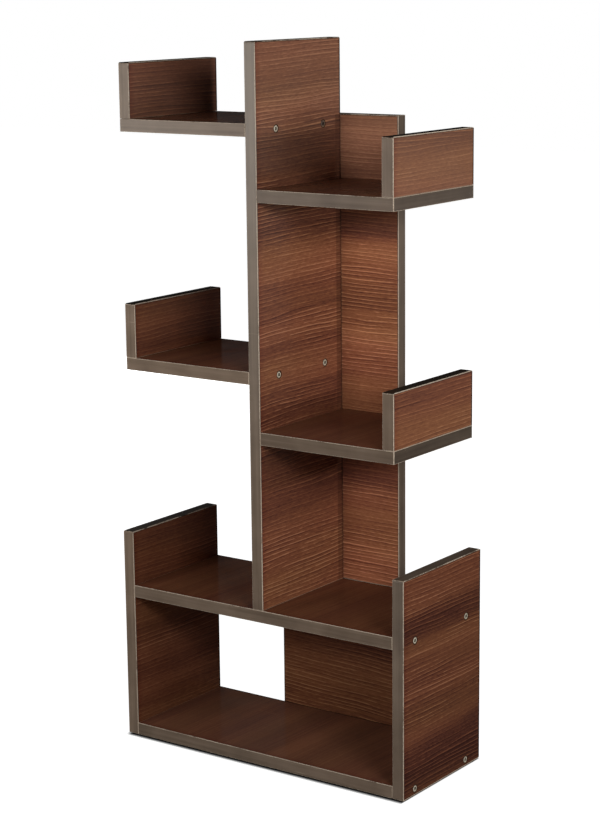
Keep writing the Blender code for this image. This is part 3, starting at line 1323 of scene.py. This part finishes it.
@dataclass
class JoiningScrew:
    """A countersunk nickel screw with a hexagon socket and a coarse thread."""

    length: float = 0.040
    head_radius: float = 0.0037
    face_radius: float = 0.0033
    slope: float = 0.0003
    rim: float = 0.0007
    cone: float = 0.0016
    neck_radius: float = 0.0021
    root_radius: float = 0.00155
    crest_radius: float = 0.0021
    neck_length: float = 0.008
    tip_length: float = 0.004
    tip_radius: float = 0.0006
    socket_width: float = 0.0042
    socket_depth: float = 0.0021
    point_radius_share: float = 1 / 4
    point_depth_share: float = 1 / 3
    socket_sides: int = 6
    edge_round: float = 0.00018
    edge_segments: int = 3
    pitch: float = 0.0018
    thread_width: float = 0.0009
    thread_steps: int = 16
    clearance: float = 0.0003
    recess: float = 0.0002
    crushed_radius: float = 0.0050
    crushed_depth: float = 0.00012
    overrun: float = 0.001
    sides: int = 32

    @property
    def neck(self) -> float:
        """The height at which the neck begins, under the head's cone."""
        return -self.rim - self.cone

    @property
    def socket_radius(self) -> float:
        """The distance from the socket's axis to its corners."""
        return self.socket_width / math.sqrt(3)

    def model(self) -> Piece:
        """Models the one screw that all others are copied from.

        Returns:
            The screw, with its head's top face at height zero.
        """
        thread_start = self.neck - self.neck_length
        head, neck, root = self.head_radius, self.neck_radius, self.root_radius
        profile = [(self.face_radius, 0.0), (head, -self.slope), (head, -self.rim), (neck, self.neck)]
        profile += [(neck, thread_start), (root, thread_start - self.pitch / 2)]
        profile += [(root, self.tip_length - self.length), (self.tip_radius, -self.length)]
        screw = turned_solid("joining_screw_pattern", profile, self.sides)
        with editing(screw):
            pick_edges(screw, lambda edge: all(abs(v.co.z) < TOUCH for v in edge.verts))
            bevel(self.edge_round, self.edge_segments)
        combine(screw, self.thread(thread_start), "UNION")
        combine(screw, self.socket())
        mark_faces(screw, "recess", self.is_dark)
        smooth(screw)
        return screw

    def is_dark(self, corners: list[Vector]) -> bool:
        """Tests a face for the socket, the head's slope and the shank, which are painted dark with shade and
        grime.

        Args:
            corners: The face's corners.

        Returns:
            True if it is part of one of them.
        """
        reach = self.socket_radius + TOUCH
        low, high = min(co.z for co in corners), max(co.z for co in corners)
        in_socket = low > -self.socket_depth - self.overrun and all(co.xy.length < reach for co in corners)
        on_slope = high > -self.rim and all(co.xy.length > self.face_radius for co in corners)
        return in_socket or on_slope or high < self.neck

    def socket(self) -> Piece:
        """Models the cutter for the socket: a hexagon with a drilled, pointed floor.

        Returns:
            The cutter.
        """
        radius = self.socket_radius
        floor = -self.socket_depth
        point = (radius * self.point_radius_share, floor - radius * self.point_depth_share)
        profile = ((radius, self.overrun), (radius, floor), point)
        return turned_solid("socket_cutter", profile, self.socket_sides)

    def thread(self, start: float) -> Piece:
        """The thread's ridge, a triangle wound down the shank.

        Args:
            start: The height at which the thread begins.

        Returns:
            The ridge as a closed solid.
        """
        inner = self.root_radius - self.clearance
        rise = self.crest_radius - inner
        ring = bpy.ops.mesh.primitive_circle_add
        turn = (0, 0, -math.tau / 3)
        ridge = primitive("thread_ridge", ring, vertices=3, radius=1, fill_type="NOTHING", rotation=turn)
        settle(ridge)
        ridge.location = (inner + rise / 3, 0, start - self.thread_width / 2)
        ridge.rotation_euler = (-math.pi / 2, -math.pi / 2, 0)
        ridge.scale = (self.thread_width / math.sqrt(3), rise * 2 / 3, 1)
        settle(ridge)
        run = self.length + start - self.tip_length - self.thread_width
        wind = ridge.modifiers.new("wind", "SCREW")
        wind.screw_offset = -self.pitch
        wind.iterations = int(run / self.pitch)
        wind.steps = self.thread_steps
        wind.render_steps = self.thread_steps
        wind.use_merge_vertices = False
        apply_modifiers(ridge)
        with editing(ridge):
            bpy.ops.mesh.select_all(action="SELECT")
            bpy.ops.mesh.fill_holes(sides=3)
            close_up()
        return ridge

    def hole(self) -> Piece:
        """Models the cutter that clears a screw, with a shallow crushed ring round its head.

        Returns:
            The cutter, with the head's top face at height zero.
        """
        head = self.head_radius + 2 * self.clearance
        shank = self.neck_radius + self.clearance
        ring = self.recess - self.crushed_depth
        profile = [(self.crushed_radius, self.recess + self.overrun), (self.crushed_radius, ring)]
        profile += [(head, ring - self.clearance / 3), (head, -self.rim)]
        profile += [(shank, self.neck - self.clearance), (shank, -self.length - self.clearance)]
        return turned_solid("screw_hole_cutter", profile, self.sides)


@dataclass
class GlideFoot:
    """A nail-on glide: a cupped plastic disc and its nail, moulded in one piece."""

    radius: float = 0.0065
    height: float = 0.002
    edge: float = 0.0006
    edge_segments: int = 3
    cup_radius: float = 0.002925
    cup_floor_radius: float = 0.0013
    groove: float = 0.0003
    nail_radius: float = 0.0009
    nail_length: float = 0.012
    point_length: float = 0.003
    point_radius: float = 0.0002
    clearance: float = 0.0003
    overrun: float = 0.001
    sides: int = 48
    hole_sides: int = 16

    def model(self) -> Piece:
        """Models the one foot that all others are copied from.

        Returns:
            The foot, nail up, with the disc's upper face at height zero.
        """
        low = -self.height
        rim_low = self.edge + low
        inner, nail, cup = self.radius - self.edge, self.nail_radius, self.groove + low
        profile = [(self.point_radius, self.nail_length), (nail, self.nail_length - self.point_length)]
        profile += [(nail, 0.0), (inner, 0.0), (self.radius, -self.edge / 2), (self.radius, rim_low)]
        profile += [(inner, low), (self.cup_radius, low)]
        profile += [(self.cup_radius - self.groove, cup), (self.cup_floor_radius, cup)]
        foot = turned_solid("glide_foot_pattern", profile, self.sides)

        def on_rim(edge: MeshEdge) -> bool:
            """True for an edge of the rim's lower ring."""
            rim = Vector((self.radius, rim_low))
            return all((Vector((v.co.xy.length, v.co.z)) - rim).length < TOUCH for v in edge.verts)

        with editing(foot):
            pick_edges(foot, on_rim)
            bevel(self.edge / 2, self.edge_segments)
        smooth(foot)
        return foot

    def hole(self) -> Piece:
        """Models the cutter that clears the nail.

        Returns:
            The cutter, with the disc's upper face at height zero.
        """
        wide = self.nail_radius + self.clearance
        profile = ((wide, self.nail_length + self.clearance), (wide, -self.overrun))
        return turned_solid("nail_hole_cutter", profile, self.hole_sides)


@dataclass
class Fixings:
    """The screws and feet: one pattern of each, and every seat that is filled from them."""

    effects: Effects
    screw: JoiningScrew = field(default_factory=JoiningScrew)
    foot: GlideFoot = field(default_factory=GlideFoot)
    nickel: NickelPlate = NickelPlate()
    # A darker plate, used for one screw that shows dark.
    dark_toned: NickelPlate = NickelPlate(bright=(0.30, 0.22, 0.17), dull=(0.08, 0.05, 0.035))
    plastic: GlidePlastic = GlidePlastic()
    seats: list[Seat] = field(default_factory=list)

    def __post_init__(self) -> None:
        """Models the patterns and mixes their finishes."""
        self.screws = Pattern(self.screw.model(), self.screw.hole(), "turned", "joining_screw")
        self.feet = Pattern(self.foot.model(), self.foot.hole(), "moulded", "glide_foot")
        self.nickel_finish = self.nickel.material(Finish("nickel_plate"))
        self.dark_toned_finish = self.dark_toned.material(Finish("browned_plate"))
        self.plastic_finish = self.plastic.material(Finish("glide_plastic", self.effects))

    def drive(self, node: str, edge: Edge, dark_toned: bool = False) -> None:
        """Puts a screw in its seat, its head to one side, in the usual plate or the dark-toned one."""
        finish = self.dark_toned_finish if dark_toned else self.nickel_finish
        self.fill(node, self.screws, edge, edge.wall(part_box(node)), finish)

    def nail(self, node: str) -> None:
        """Puts a glide foot in its seat."""
        level = Edge.FOOT.wall(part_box(node)) + self.foot.height
        self.fill(node, self.feet, Edge.HEAD, level, self.plastic_finish)

    def fill(self, node: str, pattern: Pattern, edge: Edge, level: float, finish: Material) -> None:
        """Fills one seat with a copy of a pattern.

        Args:
            node: The CAD node that the copy stands for.
            pattern: What is copied.
            edge: The side that it looks to.
            level: Where its outer face lies.
            finish: Its finish.
        """
        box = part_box(node)
        point = (box[0] + box[1]) / 2
        point[edge.axis] = level
        seat = Seat(pattern, point, edge.outward, box)
        self.seats.append(seat)
        piece = copy_piece(pattern.piece, f"{node}_{pattern.ending}", seat.matrix)
        hand_in(piece, finish, node)

    def drill(self, piece: Piece, box: Box) -> list[Seat]:
        """Drills every hole that reaches into a board.

        Args:
            piece: The board's core.
            box: Its box.

        Returns:
            The seats of the screws among them.
        """
        inside = [seat for seat in self.seats if boxes_meet(seat.reach, box)]
        for seat in inside:
            combine(piece, copy_piece(seat.pattern.cutter, "hole_cutter", seat.matrix))
        return [seat for seat in inside if seat.pattern is self.screws]

    def put_away(self) -> None:
        """Removes the patterns and the cutters."""
        for pattern in (self.screws, self.feet):
            bpy.data.objects.remove(pattern.piece, do_unlink=True)
            bpy.data.objects.remove(pattern.cutter, do_unlink=True)


# Boards


@dataclass
class Workshop:
    """What every board is made with."""

    effects: Effects
    fixings: Fixings
    laminate: WalnutLaminate = WalnutLaminate()
    tape: EdgeTape = EdgeTape()


@dataclass
class Board:
    """One laminated board: a chipboard core with printed skins, and tape glued to its bare edges.

    Tapes are listed from the one that is stuck on last, which runs over the ends of the others.
    Filed corners are given as the two sides that meet there.
    """

    node: str
    figure: Figure
    tapes: tuple[Edge, ...]
    looks: dict[Edge, StripLook] = field(default_factory=dict)
    filed: tuple[tuple[Edge, Edge], ...] = ()
    corner_radius: float = 0.003
    corner_overlap: float = 1.02
    corner_sides: int = 32
    skin_arris: float = 0.00015
    skin_segments: int = 2
    far: float = 1.0

    def build(self, shop: Workshop) -> None:
        """Models the core and its tapes, and dresses them.

        Args:
            shop: What it is made with.
        """
        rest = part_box(self.node)
        for place, edge in enumerate(self.tapes):
            strip, rest = slab(rest, edge, shop.tape.thickness)
            self.stick(edge, strip, self.tapes[:place], shop)
        self.saw(rest, shop)

    def file_corners(self, piece: Piece) -> None:
        """Rounds a core or a strip where it reaches the board's filed corners.

        Args:
            piece: The core or strip.
        """
        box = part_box(self.node)
        rim = Vector((TOUCH, TOUCH, TOUCH))
        for pair in self.filed:
            block = (box[0] - rim, box[1] + rim)
            for edge in pair:
                block = moved(block, edge.opposite, edge.wall(box) - edge.sign * self.corner_radius)
            if boxes_meet(block, piece_box(piece)):
                combine(piece, self.corner_cutter(pair, block, thin_axis(box)))

    def corner_cutter(self, pair: tuple[Edge, Edge], block: Box, thin: int) -> Piece:
        """The solid that is filed off one corner: a block less a round.

        Args:
            pair: The two sides that meet at the corner.
            block: The block that holds the corner.
            thin: The board's thin axis.

        Returns:
            The cutter.
        """
        cutter = add_block("corner_cutter", block)
        middle = (block[0] + block[1]) / 2
        for edge in pair:
            middle[edge.axis] = edge.opposite.wall(block)
        drum = primitive(
            "corner_drum",
            bpy.ops.mesh.primitive_cylinder_add,
            vertices=self.corner_sides,
            radius=self.corner_radius * self.corner_overlap,
            depth=extent(block, thin) + self.far,
            location=middle,
        )
        if thin != Edge.HEAD.axis:
            drum.rotation_euler[1 - thin] = math.pi / 2
        settle(drum)
        combine(cutter, drum)
        return cutter

    def stick(self, edge: Edge, strip: Box, covered: Sequence[Edge], shop: Workshop) -> None:
        """Models one strip of tape, rounded at its outer arrises.

        Args:
            edge: The side of the board that it covers.
            strip: Its box.
            covered: The sides whose tapes run over its ends.
            shop: What it is made with.
        """
        piece = add_block(f"{self.node}_{edge.name.lower()}_tape", strip)
        tape = shop.tape

        def lies_in(mesh_edge: MeshEdge, side: Edge) -> bool:
            """True for an edge that lies in one side of the strip."""
            return all(abs(v.co[side.axis] - side.wall(strip)) < TOUCH for v in mesh_edge.verts)

        def butts(mesh_edge: MeshEdge) -> bool:
            """True for an edge that lies against another tape."""
            return any(lies_in(mesh_edge, side) for side in covered)

        with editing(piece):
            pick_edges(piece, lambda e: lies_in(e, edge) and not butts(e))
            bevel(tape.arris, tape.arris_segments)
        with editing(piece):
            pick_edges(piece, lambda e: lies_in(e, edge) and butts(e))
            bevel(tape.butt_arris, tape.butt_segments)
        self.file_corners(piece)
        smooth(piece)
        look = self.looks.get(edge, STRIP_LOOKS[edge])
        sheet = Finish(f"{piece.name}_finish", shop.effects)
        hand_in(piece, tape.material(sheet, edge, strip, look))

    def saw(self, core: Box, shop: Workshop) -> None:
        """Models the core: eased skins, then every hole.

        Args:
            core: Its box.
            shop: What it is made with.
        """
        piece = add_block(f"{self.node}_core", core)
        thin = thin_axis(core)
        with editing(piece):
            pick_edges(piece, lambda e: abs(e.verts[0].co[thin] - e.verts[1].co[thin]) < TOUCH)
            bevel(self.skin_arris, self.skin_segments)
        self.file_corners(piece)
        seats = shop.fixings.drill(piece, core)
        reach = shop.fixings.screw.crushed_radius + TOUCH
        mark_faces(piece, "bored", lambda corners: any(seat.rings(corners, reach) for seat in seats))
        smooth(piece)
        taped = self.with_far_sides(core, [edge for edge in Edge if edge not in self.tapes])
        ends = (taped[0].y, taped[1].y)
        if thin == Edge.BACK.axis:
            ends = (ends[0] - self.far, ends[1] + self.far)
        if self.figure.back_shade_from:
            taped[1].y += self.far
        sides = CoreSides(core, taped, self.with_far_sides(core, self.tapes), ends)
        sheet = Finish(f"{piece.name}_finish", shop.effects)
        hand_in(piece, shop.laminate.material(sheet, self.figure, sides), self.node)

    def with_far_sides(self, core: Box, edges: Sequence[Edge]) -> Box:
        """Moves some narrow sides of the core's box far off, so that no line is drawn there.

        Args:
            core: The core's box.
            edges: The sides.

        Returns:
            The new box.
        """
        box = core
        for edge in edges:
            if edge.axis != thin_axis(core):
                box = moved(box, edge, edge.wall(core) + edge.sign * self.far)
        return box


# Sub-assemblies


@dataclass
class BaseBox:
    """The base: two side panels, the bottom board, the middle shelf, the lower back panel and
    the feet."""

    levels: tuple[str, ...] = ("bottom", "middle")
    ends: tuple[Edge, ...] = (Edge.LEFT, Edge.RIGHT)
    panel_tapes: tuple[Edge, ...] = (Edge.FRONT, Edge.BACK, Edge.HEAD, Edge.FOOT)
    panel_corners: tuple[tuple[Edge, Edge], ...] = (*TOP_CORNERS, (Edge.FOOT, Edge.BACK))

    def fasten(self, fixings: Fixings) -> None:
        """Drives the base's screws and nails its feet on.

        Args:
            fixings: The screws and feet.
        """
        for end in self.ends:
            side = end.name.lower()
            for level in self.levels:
                for row in ROWS:
                    fixings.drive(f"{side}_side_screw_{level}_{row}", end)
            for row in ROWS:
                fixings.nail(f"glide_foot_{row}_{side}")
        for level in self.levels:
            for end in self.ends:
                fixings.drive(f"lower_panel_screw_{level}_{end.name.lower()}", Edge.BACK)

    def boards(self) -> list[Board]:
        """Lists the base's boards.

        Returns:
            The boards, in the order that they are made.
        """
        # The board tones are partly the print's own shade and partly painted light and shade.
        left = replace(SIDE_PRINT, cut=(0.7, 0.21, 0.3), tilt=0.02, contrast=0.8, tone=0.85)
        bands = ((0.203, 0.017, 0.20), (0.030, 0.040, 0.24), (0.240, 0.016, -0.06))
        right = replace(SIDE_PRINT, cut=(0.0, 0.5, 0.1), tilt=0.02, tone=0.92, bands=bands)
        bottom = replace(TOP_PRINT, cut=(0.10, 0.35, 0.0), tone=0.92, fade=0.10)
        middle = replace(TOP_PRINT, cut=(0.4, 0.9, 0.2), tone=0.80, fade=0.02)
        bands = ((0.160, 0.030, 0.16), (0.060, 0.040, -0.08))
        back = replace(BACK_PRINT, cut=(0.2, 0.5, 0.6), bands=bands)
        # Tape tones paint in light and shade: the tops darker, the left front lighter than the right. The
        # foot tapes are lightened far past the tape's colour, with painted sheen, to draw a pale line along
        # the bottom arris.
        left_looks = {
            Edge.FRONT: StripLook(tone=1.24),
            Edge.HEAD: StripLook(tone=0.20, trim_cover=0.55),
            Edge.FOOT: StripLook(tone=1.6, trim_cover=1.0, painted_sheen=(0.3, 0.3)),
        }
        right_looks = {
            Edge.FRONT: StripLook(tone=0.90, painted_sheen=(0.0, 0.08)),
            Edge.HEAD: StripLook(tone=0.62, trim_cover=0.55),
            Edge.FOOT: StripLook(tone=4.6, trim_cover=0.0, painted_sheen=(0.30, 0.30)),
        }
        return [
            Board("left_side_panel", left, self.panel_tapes, left_looks, self.panel_corners),
            Board("right_side_panel", right, self.panel_tapes, right_looks, self.panel_corners),
            Board("bottom_board", bottom, (Edge.FRONT, Edge.BACK)),
            Board("middle_shelf", middle, (Edge.FRONT, Edge.BACK)),
            Board("lower_back_panel", back, (Edge.HEAD, Edge.FOOT, Edge.LEFT, Edge.RIGHT)),
        ]


@dataclass
class Trunk:
    """The trunk: the upright board and the back panel behind it."""

    panel_screws: tuple[str, ...] = ("low", "mid", "high", "lower_right", "upper_right")

    def fasten(self, fixings: Fixings) -> None:
        """Drives the screws of the upright's foot and of the back panel.

        Args:
            fixings: The screws and feet.
        """
        for row in ROWS:
            fixings.drive(f"upright_foot_screw_{row}", Edge.FOOT)
        for place in self.panel_screws:
            fixings.drive(f"trunk_panel_screw_{place}", Edge.BACK)

    def boards(self) -> list[Board]:
        """Lists the trunk's boards.

        Returns:
            The boards, in the order that they are made.
        """
        # The darker bands near 0.644 and 0.350 high, just under the right shelves, are partly the print's
        # darker figure and partly painted shade under those shelves.
        bands = ((0.820, 0.048, -0.15), (0.735, 0.026, 0.16), (0.644, 0.014, 0.10), (0.546, 0.003, 0.14))
        bands += ((0.528, 0.014, -0.06), (0.438, 0.022, 0.16), (0.350, 0.040, 0.14), (0.262, 0.040, -0.04))
        # The upright's and the panel's tones are partly painted light; the panel's high tone paints in light
        # that the lamps leave short on it.
        upright = replace(SIDE_PRINT, cut=(0.3, 1.3, 0.4), tilt=0.04, wave=0.005, contrast=1.15, tone=1.14)
        upright = replace(upright, fade=0.20, painted_haze_rise=(0.60, 0.82), back_shade_from=0.770)
        upright = replace(upright, gloss=0.22, gloss_rise=(0.16, 0.42), bands=bands)
        # Likewise the darker bands near 0.642 and 0.345 on the panel are partly figure and partly painted
        # shade under the right shelves.
        bands = ((0.740, 0.035, -0.24), (0.642, 0.016, 0.22), (0.600, 0.022, -0.10), (0.550, 0.014, 0.10))
        bands += ((0.505, 0.028, -0.10), (0.345, 0.030, 0.12), (0.300, 0.022, -0.04), (0.222, 0.030, -0.14))
        panel = replace(BACK_PRINT, cut=(0.5, 0.4, 0.9), wave=0.003, contrast=0.95, tone=1.84)
        panel = replace(panel, fade=0.36, painted_haze_rise=(0.60, 0.74), bands=bands)
        # Painted sheen up the upright's front tape; painted shade on its back tape's flanks.
        upright_looks = {
            Edge.FRONT: StripLook(tone=1.0, trim_cover=0.70, painted_sheen=(0.0, 0.30)),
            Edge.BACK: StripLook(tone=0.85, trim_cover=0.0, polish=0.0, flank_shade=0.45),
        }
        panel_looks = {Edge.RIGHT: StripLook(tone=0.80, trim_cover=0.80)}
        return [
            Board("trunk_upright", upright, (Edge.FRONT, Edge.BACK, Edge.HEAD), upright_looks, TOP_CORNERS),
            Board("trunk_back_panel", panel, (Edge.LEFT, Edge.RIGHT, Edge.HEAD), panel_looks),
        ]


@dataclass
class TrunkShelf:
    """One shelf of the trunk with the guard on its outer end."""

    name: str
    outer: Edge
    shelf_cut: Triple
    guard_cut: Triple
    # The guard and top tones and the painted haze paint in the light and shade that fall on this shelf and
    # its guard.
    guard_tone: float = 1.0
    guard_painted_haze: float = 0.0
    top_tone: float = 0.88
    top_painted_haze: float = 0.08
    front_tape: StripLook = StripLook()
    guard_tape: StripLook = StripLook()
    # The guard's top tape and the shelf's end tape are toned dark as painted shade.
    guard_head_tape: StripLook = StripLook(tone=0.14, trim_cover=0.75, polish=0.4)
    end_tape: StripLook = StripLook(tone=0.50, trim_cover=0.85)
    dark_toned_row: str = ""

    def fasten(self, fixings: Fixings) -> None:
        """Drives the screws through the upright into the shelf, and up into the guard.

        Args:
            fixings: The screws and feet.
        """
        for row in ROWS:
            fixings.drive(f"{self.name}_shelf_screw_{row}", self.outer.opposite, row == self.dark_toned_row)
            fixings.drive(f"{self.name}_guard_screw_{row}", Edge.FOOT)

    def boards(self) -> list[Board]:
        """Lists the shelf and its guard.

        Returns:
            The two boards.
        """
        top = replace(TOP_PRINT, cut=self.shelf_cut, tone=self.top_tone, fade=self.top_painted_haze)
        side = replace(SIDE_PRINT, cut=self.guard_cut, tilt=0.02, contrast=0.8)
        side = replace(side, tone=self.guard_tone, fade=self.guard_painted_haze)
        shelf_looks = {self.outer: self.end_tape, Edge.FRONT: self.front_tape}
        guard_looks = {Edge.FRONT: self.guard_tape, Edge.HEAD: self.guard_head_tape}
        return [
            Board(f"{self.name}_shelf", top, (Edge.FRONT, Edge.BACK, self.outer), shelf_looks),
            Board(f"{self.name}_guard", side, (Edge.HEAD, Edge.FRONT, Edge.BACK), guard_looks, TOP_CORNERS),
        ]


# Studio


@dataclass(frozen=True)
class Softbox:
    """One soft lamp, placed round the object and turned to its axis."""

    name: str
    azimuth: float
    distance: float
    height: float
    size: Span
    power: float
    aim: float = 0.75

    def hang(self) -> None:
        """Puts the lamp in the scene."""
        data = bpy.data.lights.new(self.name, "AREA")
        data.shape = "RECTANGLE"
        data.size, data.size_y = self.size
        data.energy = self.power
        lamp = bpy.data.objects.new(self.name, data)
        turn = math.radians(self.azimuth)
        lamp.location = (self.distance * math.sin(turn), -self.distance * math.cos(turn), self.height)
        lamp.rotation_mode = "QUATERNION"
        lamp.rotation_quaternion = (Vector((0, 0, self.aim)) - lamp.location).to_track_quat("-Z", "Y")
        lamp.visible_camera = False
        bpy.context.scene.collection.objects.link(lamp)
        log.info("%s: %.1f W", self.name, self.power)


@dataclass
class Studio:
    """Camera, lamps, floor and surround."""

    camera_place: Triple = (1.44614, -2.01535, 0.93231)
    camera_azimuth: float = 35.6881
    camera_elevation: float = 11.8835
    camera_roll: float = -0.6343
    lens: float = 90.659
    sensor: float = 36.0
    clip: Span = (0.1, 50.0)
    floor_size: float = 16.0
    floor_colour: Colour = (0.62, 0.62, 0.62)
    floor_roughness: float = 0.9
    near_glow: float = 0.95
    glow_span: Span = (0.45, 1.1)
    contact_reach: float = 0.006
    contact_power: float = 3.6
    contact_samples: int = 16
    lit_margin: float = 0.003
    lit_share: float = 0.94
    mirrored_floor: Four = (2.0, 4.2, 0.05, 1.0)
    mirrored_surround: float = 0.06
    surround_fill: float = 0.01
    lamps: tuple[Softbox, ...] = (
        Softbox("near_side_softbox", 70.0, 0.9, 0.77, (0.35, 0.35), 1.7),
        Softbox("far_side_softbox", 56.0, 2.8, 1.35, (0.8, 0.5), 22.0),
        Softbox("far_front_softbox", -2.0, 2.8, 1.35, (0.8, 0.5), 18.0),
        Softbox("near_front_softbox", -34.0, 0.9, 0.80, (0.5, 0.5), 2.1),
        Softbox("rear_side_softbox", 95.5, 1.5, 0.80, (0.08, 0.08), 4.0),
        Softbox("rear_left_softbox", 235.0, 2.8, 0.25, (0.8, 0.3), 28.0),
    )

    def build(self) -> None:
        """Sets up everything round the object."""
        self.set_camera()
        for lamp in self.lamps:
            lamp.hang()
        self.lay_floor()
        self.set_surround()
        bpy.context.scene.view_settings.view_transform = "Standard"

    def set_camera(self) -> None:
        """Places a camera at the photograph's viewing angle."""
        data = bpy.data.cameras.new("camera")
        data.lens = self.lens
        data.sensor_width = self.sensor
        data.clip_start, data.clip_end = self.clip
        camera = bpy.data.objects.new("camera", data)
        tilt = math.degrees(math.pi / 2) - self.camera_elevation
        turns = ((self.camera_azimuth, "Z"), (tilt, "X"), (self.camera_roll, "Z"))
        camera.matrix_world = Matrix.Translation(self.camera_place)
        for angle, axis in turns:
            camera.matrix_world = camera.matrix_world @ Matrix.Rotation(math.radians(angle), 4, axis)
        bpy.context.scene.collection.objects.link(camera)
        bpy.context.scene.camera = camera

    def lay_floor(self) -> None:
        """Lays a pale floor that reads as white to the camera and keeps the object's shadow."""
        plane = bpy.ops.mesh.primitive_plane_add
        floor = primitive("floor", plane, size=self.floor_size, location=(0, 0, CAD_BOX[0].z))
        settle(floor)
        sheet = Finish("floor")
        far = sheet.add("VectorMath", {0: sheet.place}, "Value", operation="LENGTH")
        reach = {"Distance": self.contact_reach}
        # Painted contact shadow: ambient occlusion next to the object darkens the floor's glow and colour,
        # except in a strip beside the right wall, which is kept lit as painted light.
        gap = sheet.add("AmbientOcclusion", reach, "AO", samples=self.contact_samples)
        right_wall = Edge.RIGHT.wall(CAD_BOX)
        across = sheet.place.xyz()[Edge.RIGHT.axis]
        lit = across.ease(right_wall - self.lit_margin, right_wall, 0.0, self.lit_share)
        contact_shade = sheet.math("POWER", gap, self.contact_power).most(lit)
        glow = far.ease(*self.glow_span, self.near_glow) * contact_shade
        material = sheet.shade(
            0.0,
            base_color=sheet.mix(contact_shade, BLACK, self.floor_colour),
            roughness=self.floor_roughness,
            emission_color=WHITE,
            emission_strength=glow * self.seen(sheet, far.ease(*self.mirrored_floor), 0.0),
        )
        floor.data.materials.append(material)

    def set_surround(self) -> None:
        """Sets a surround that is white to the camera, and dim in reflections and as a light."""
        world = bpy.data.worlds.new("surround")
        world.use_nodes = True
        bpy.context.scene.world = world
        sheet = Sheet(world.node_tree)
        background = world.node_tree.nodes["Background"]
        sheet.feed(background.inputs["Color"], WHITE)
        strength = self.seen(sheet, self.mirrored_surround, self.surround_fill)
        sheet.feed(background.inputs["Strength"], strength)

    def seen(self, sheet: Sheet, mirrored: Value, lighting: float) -> Signal:
        """How bright a background is for each kind of ray.

        Args:
            sheet: The sheet to build on.
            mirrored: What glossy rays get.
            lighting: What rays that light the object get.

        Returns:
            One for camera and transmission rays, and the given values for the others.
        """
        path = sheet.add("LightPath")
        plain = path["Is Camera Ray"].most(path["Is Transmission Ray"])
        return plain.most(path["Is Glossy Ray"] * mirrored).most(lighting)


def main() -> None:
    """Builds the bookshelf from the floor up, then the studio."""
    logging.basicConfig(level=logging.INFO, format="%(name)s %(message)s", stream=sys.stdout)
    effects = Effects()
    shop = Workshop(effects, Fixings(effects))
    # Each shelf's tones, painted haze and tape looks paint in the light and shade that fall on it.
    parts = (
        BaseBox(),
        Trunk(),
        TrunkShelf(
            "lower_right", Edge.RIGHT, shelf_cut=(0.8, 1.7, 0.1), guard_cut=(0.15, 1.1, 0.5),
            guard_tone=1.15, guard_painted_haze=0.05,
            front_tape=StripLook(tone=0.87), end_tape=StripLook(tone=0.46, trim_cover=0.85),
        ),
        TrunkShelf(
            "lower_left", Edge.LEFT, shelf_cut=(1.3, 0.6, 0.7), guard_cut=(0.9, 0.7, 0.2),
            guard_tone=1.05, guard_painted_haze=0.04,
            front_tape=StripLook(tone=1.2), guard_tape=StripLook(tone=1.2),
        ),
        TrunkShelf(
            "upper_right", Edge.RIGHT, shelf_cut=(0.2, 2.2, 0.4), guard_cut=(1.1, 0.33, 0.8),
            guard_tone=1.1, guard_painted_haze=0.20, top_tone=0.95, top_painted_haze=0.13,
            front_tape=StripLook(tone=0.84),
        ),
        TrunkShelf(
            "upper_left", Edge.LEFT, shelf_cut=(1.7, 1.2, 0.9), guard_cut=(0.6, 2.1, 0.6),
            guard_tone=1.35, guard_painted_haze=0.22, top_tone=0.95, top_painted_haze=0.14,
            front_tape=StripLook(tone=1.1, painted_sheen=(0.18, 0.04)),
            guard_tape=StripLook(tone=1.15, painted_sheen=(0.10, 0.10)), dark_toned_row="back",
        ),
    )
    for part in parts:
        part.fasten(shop.fixings)
    for part in parts:
        for board in part.boards():
            board.build(shop)
    shop.fixings.put_away()
    Studio().build()


if __name__ == "__main__":
    main()
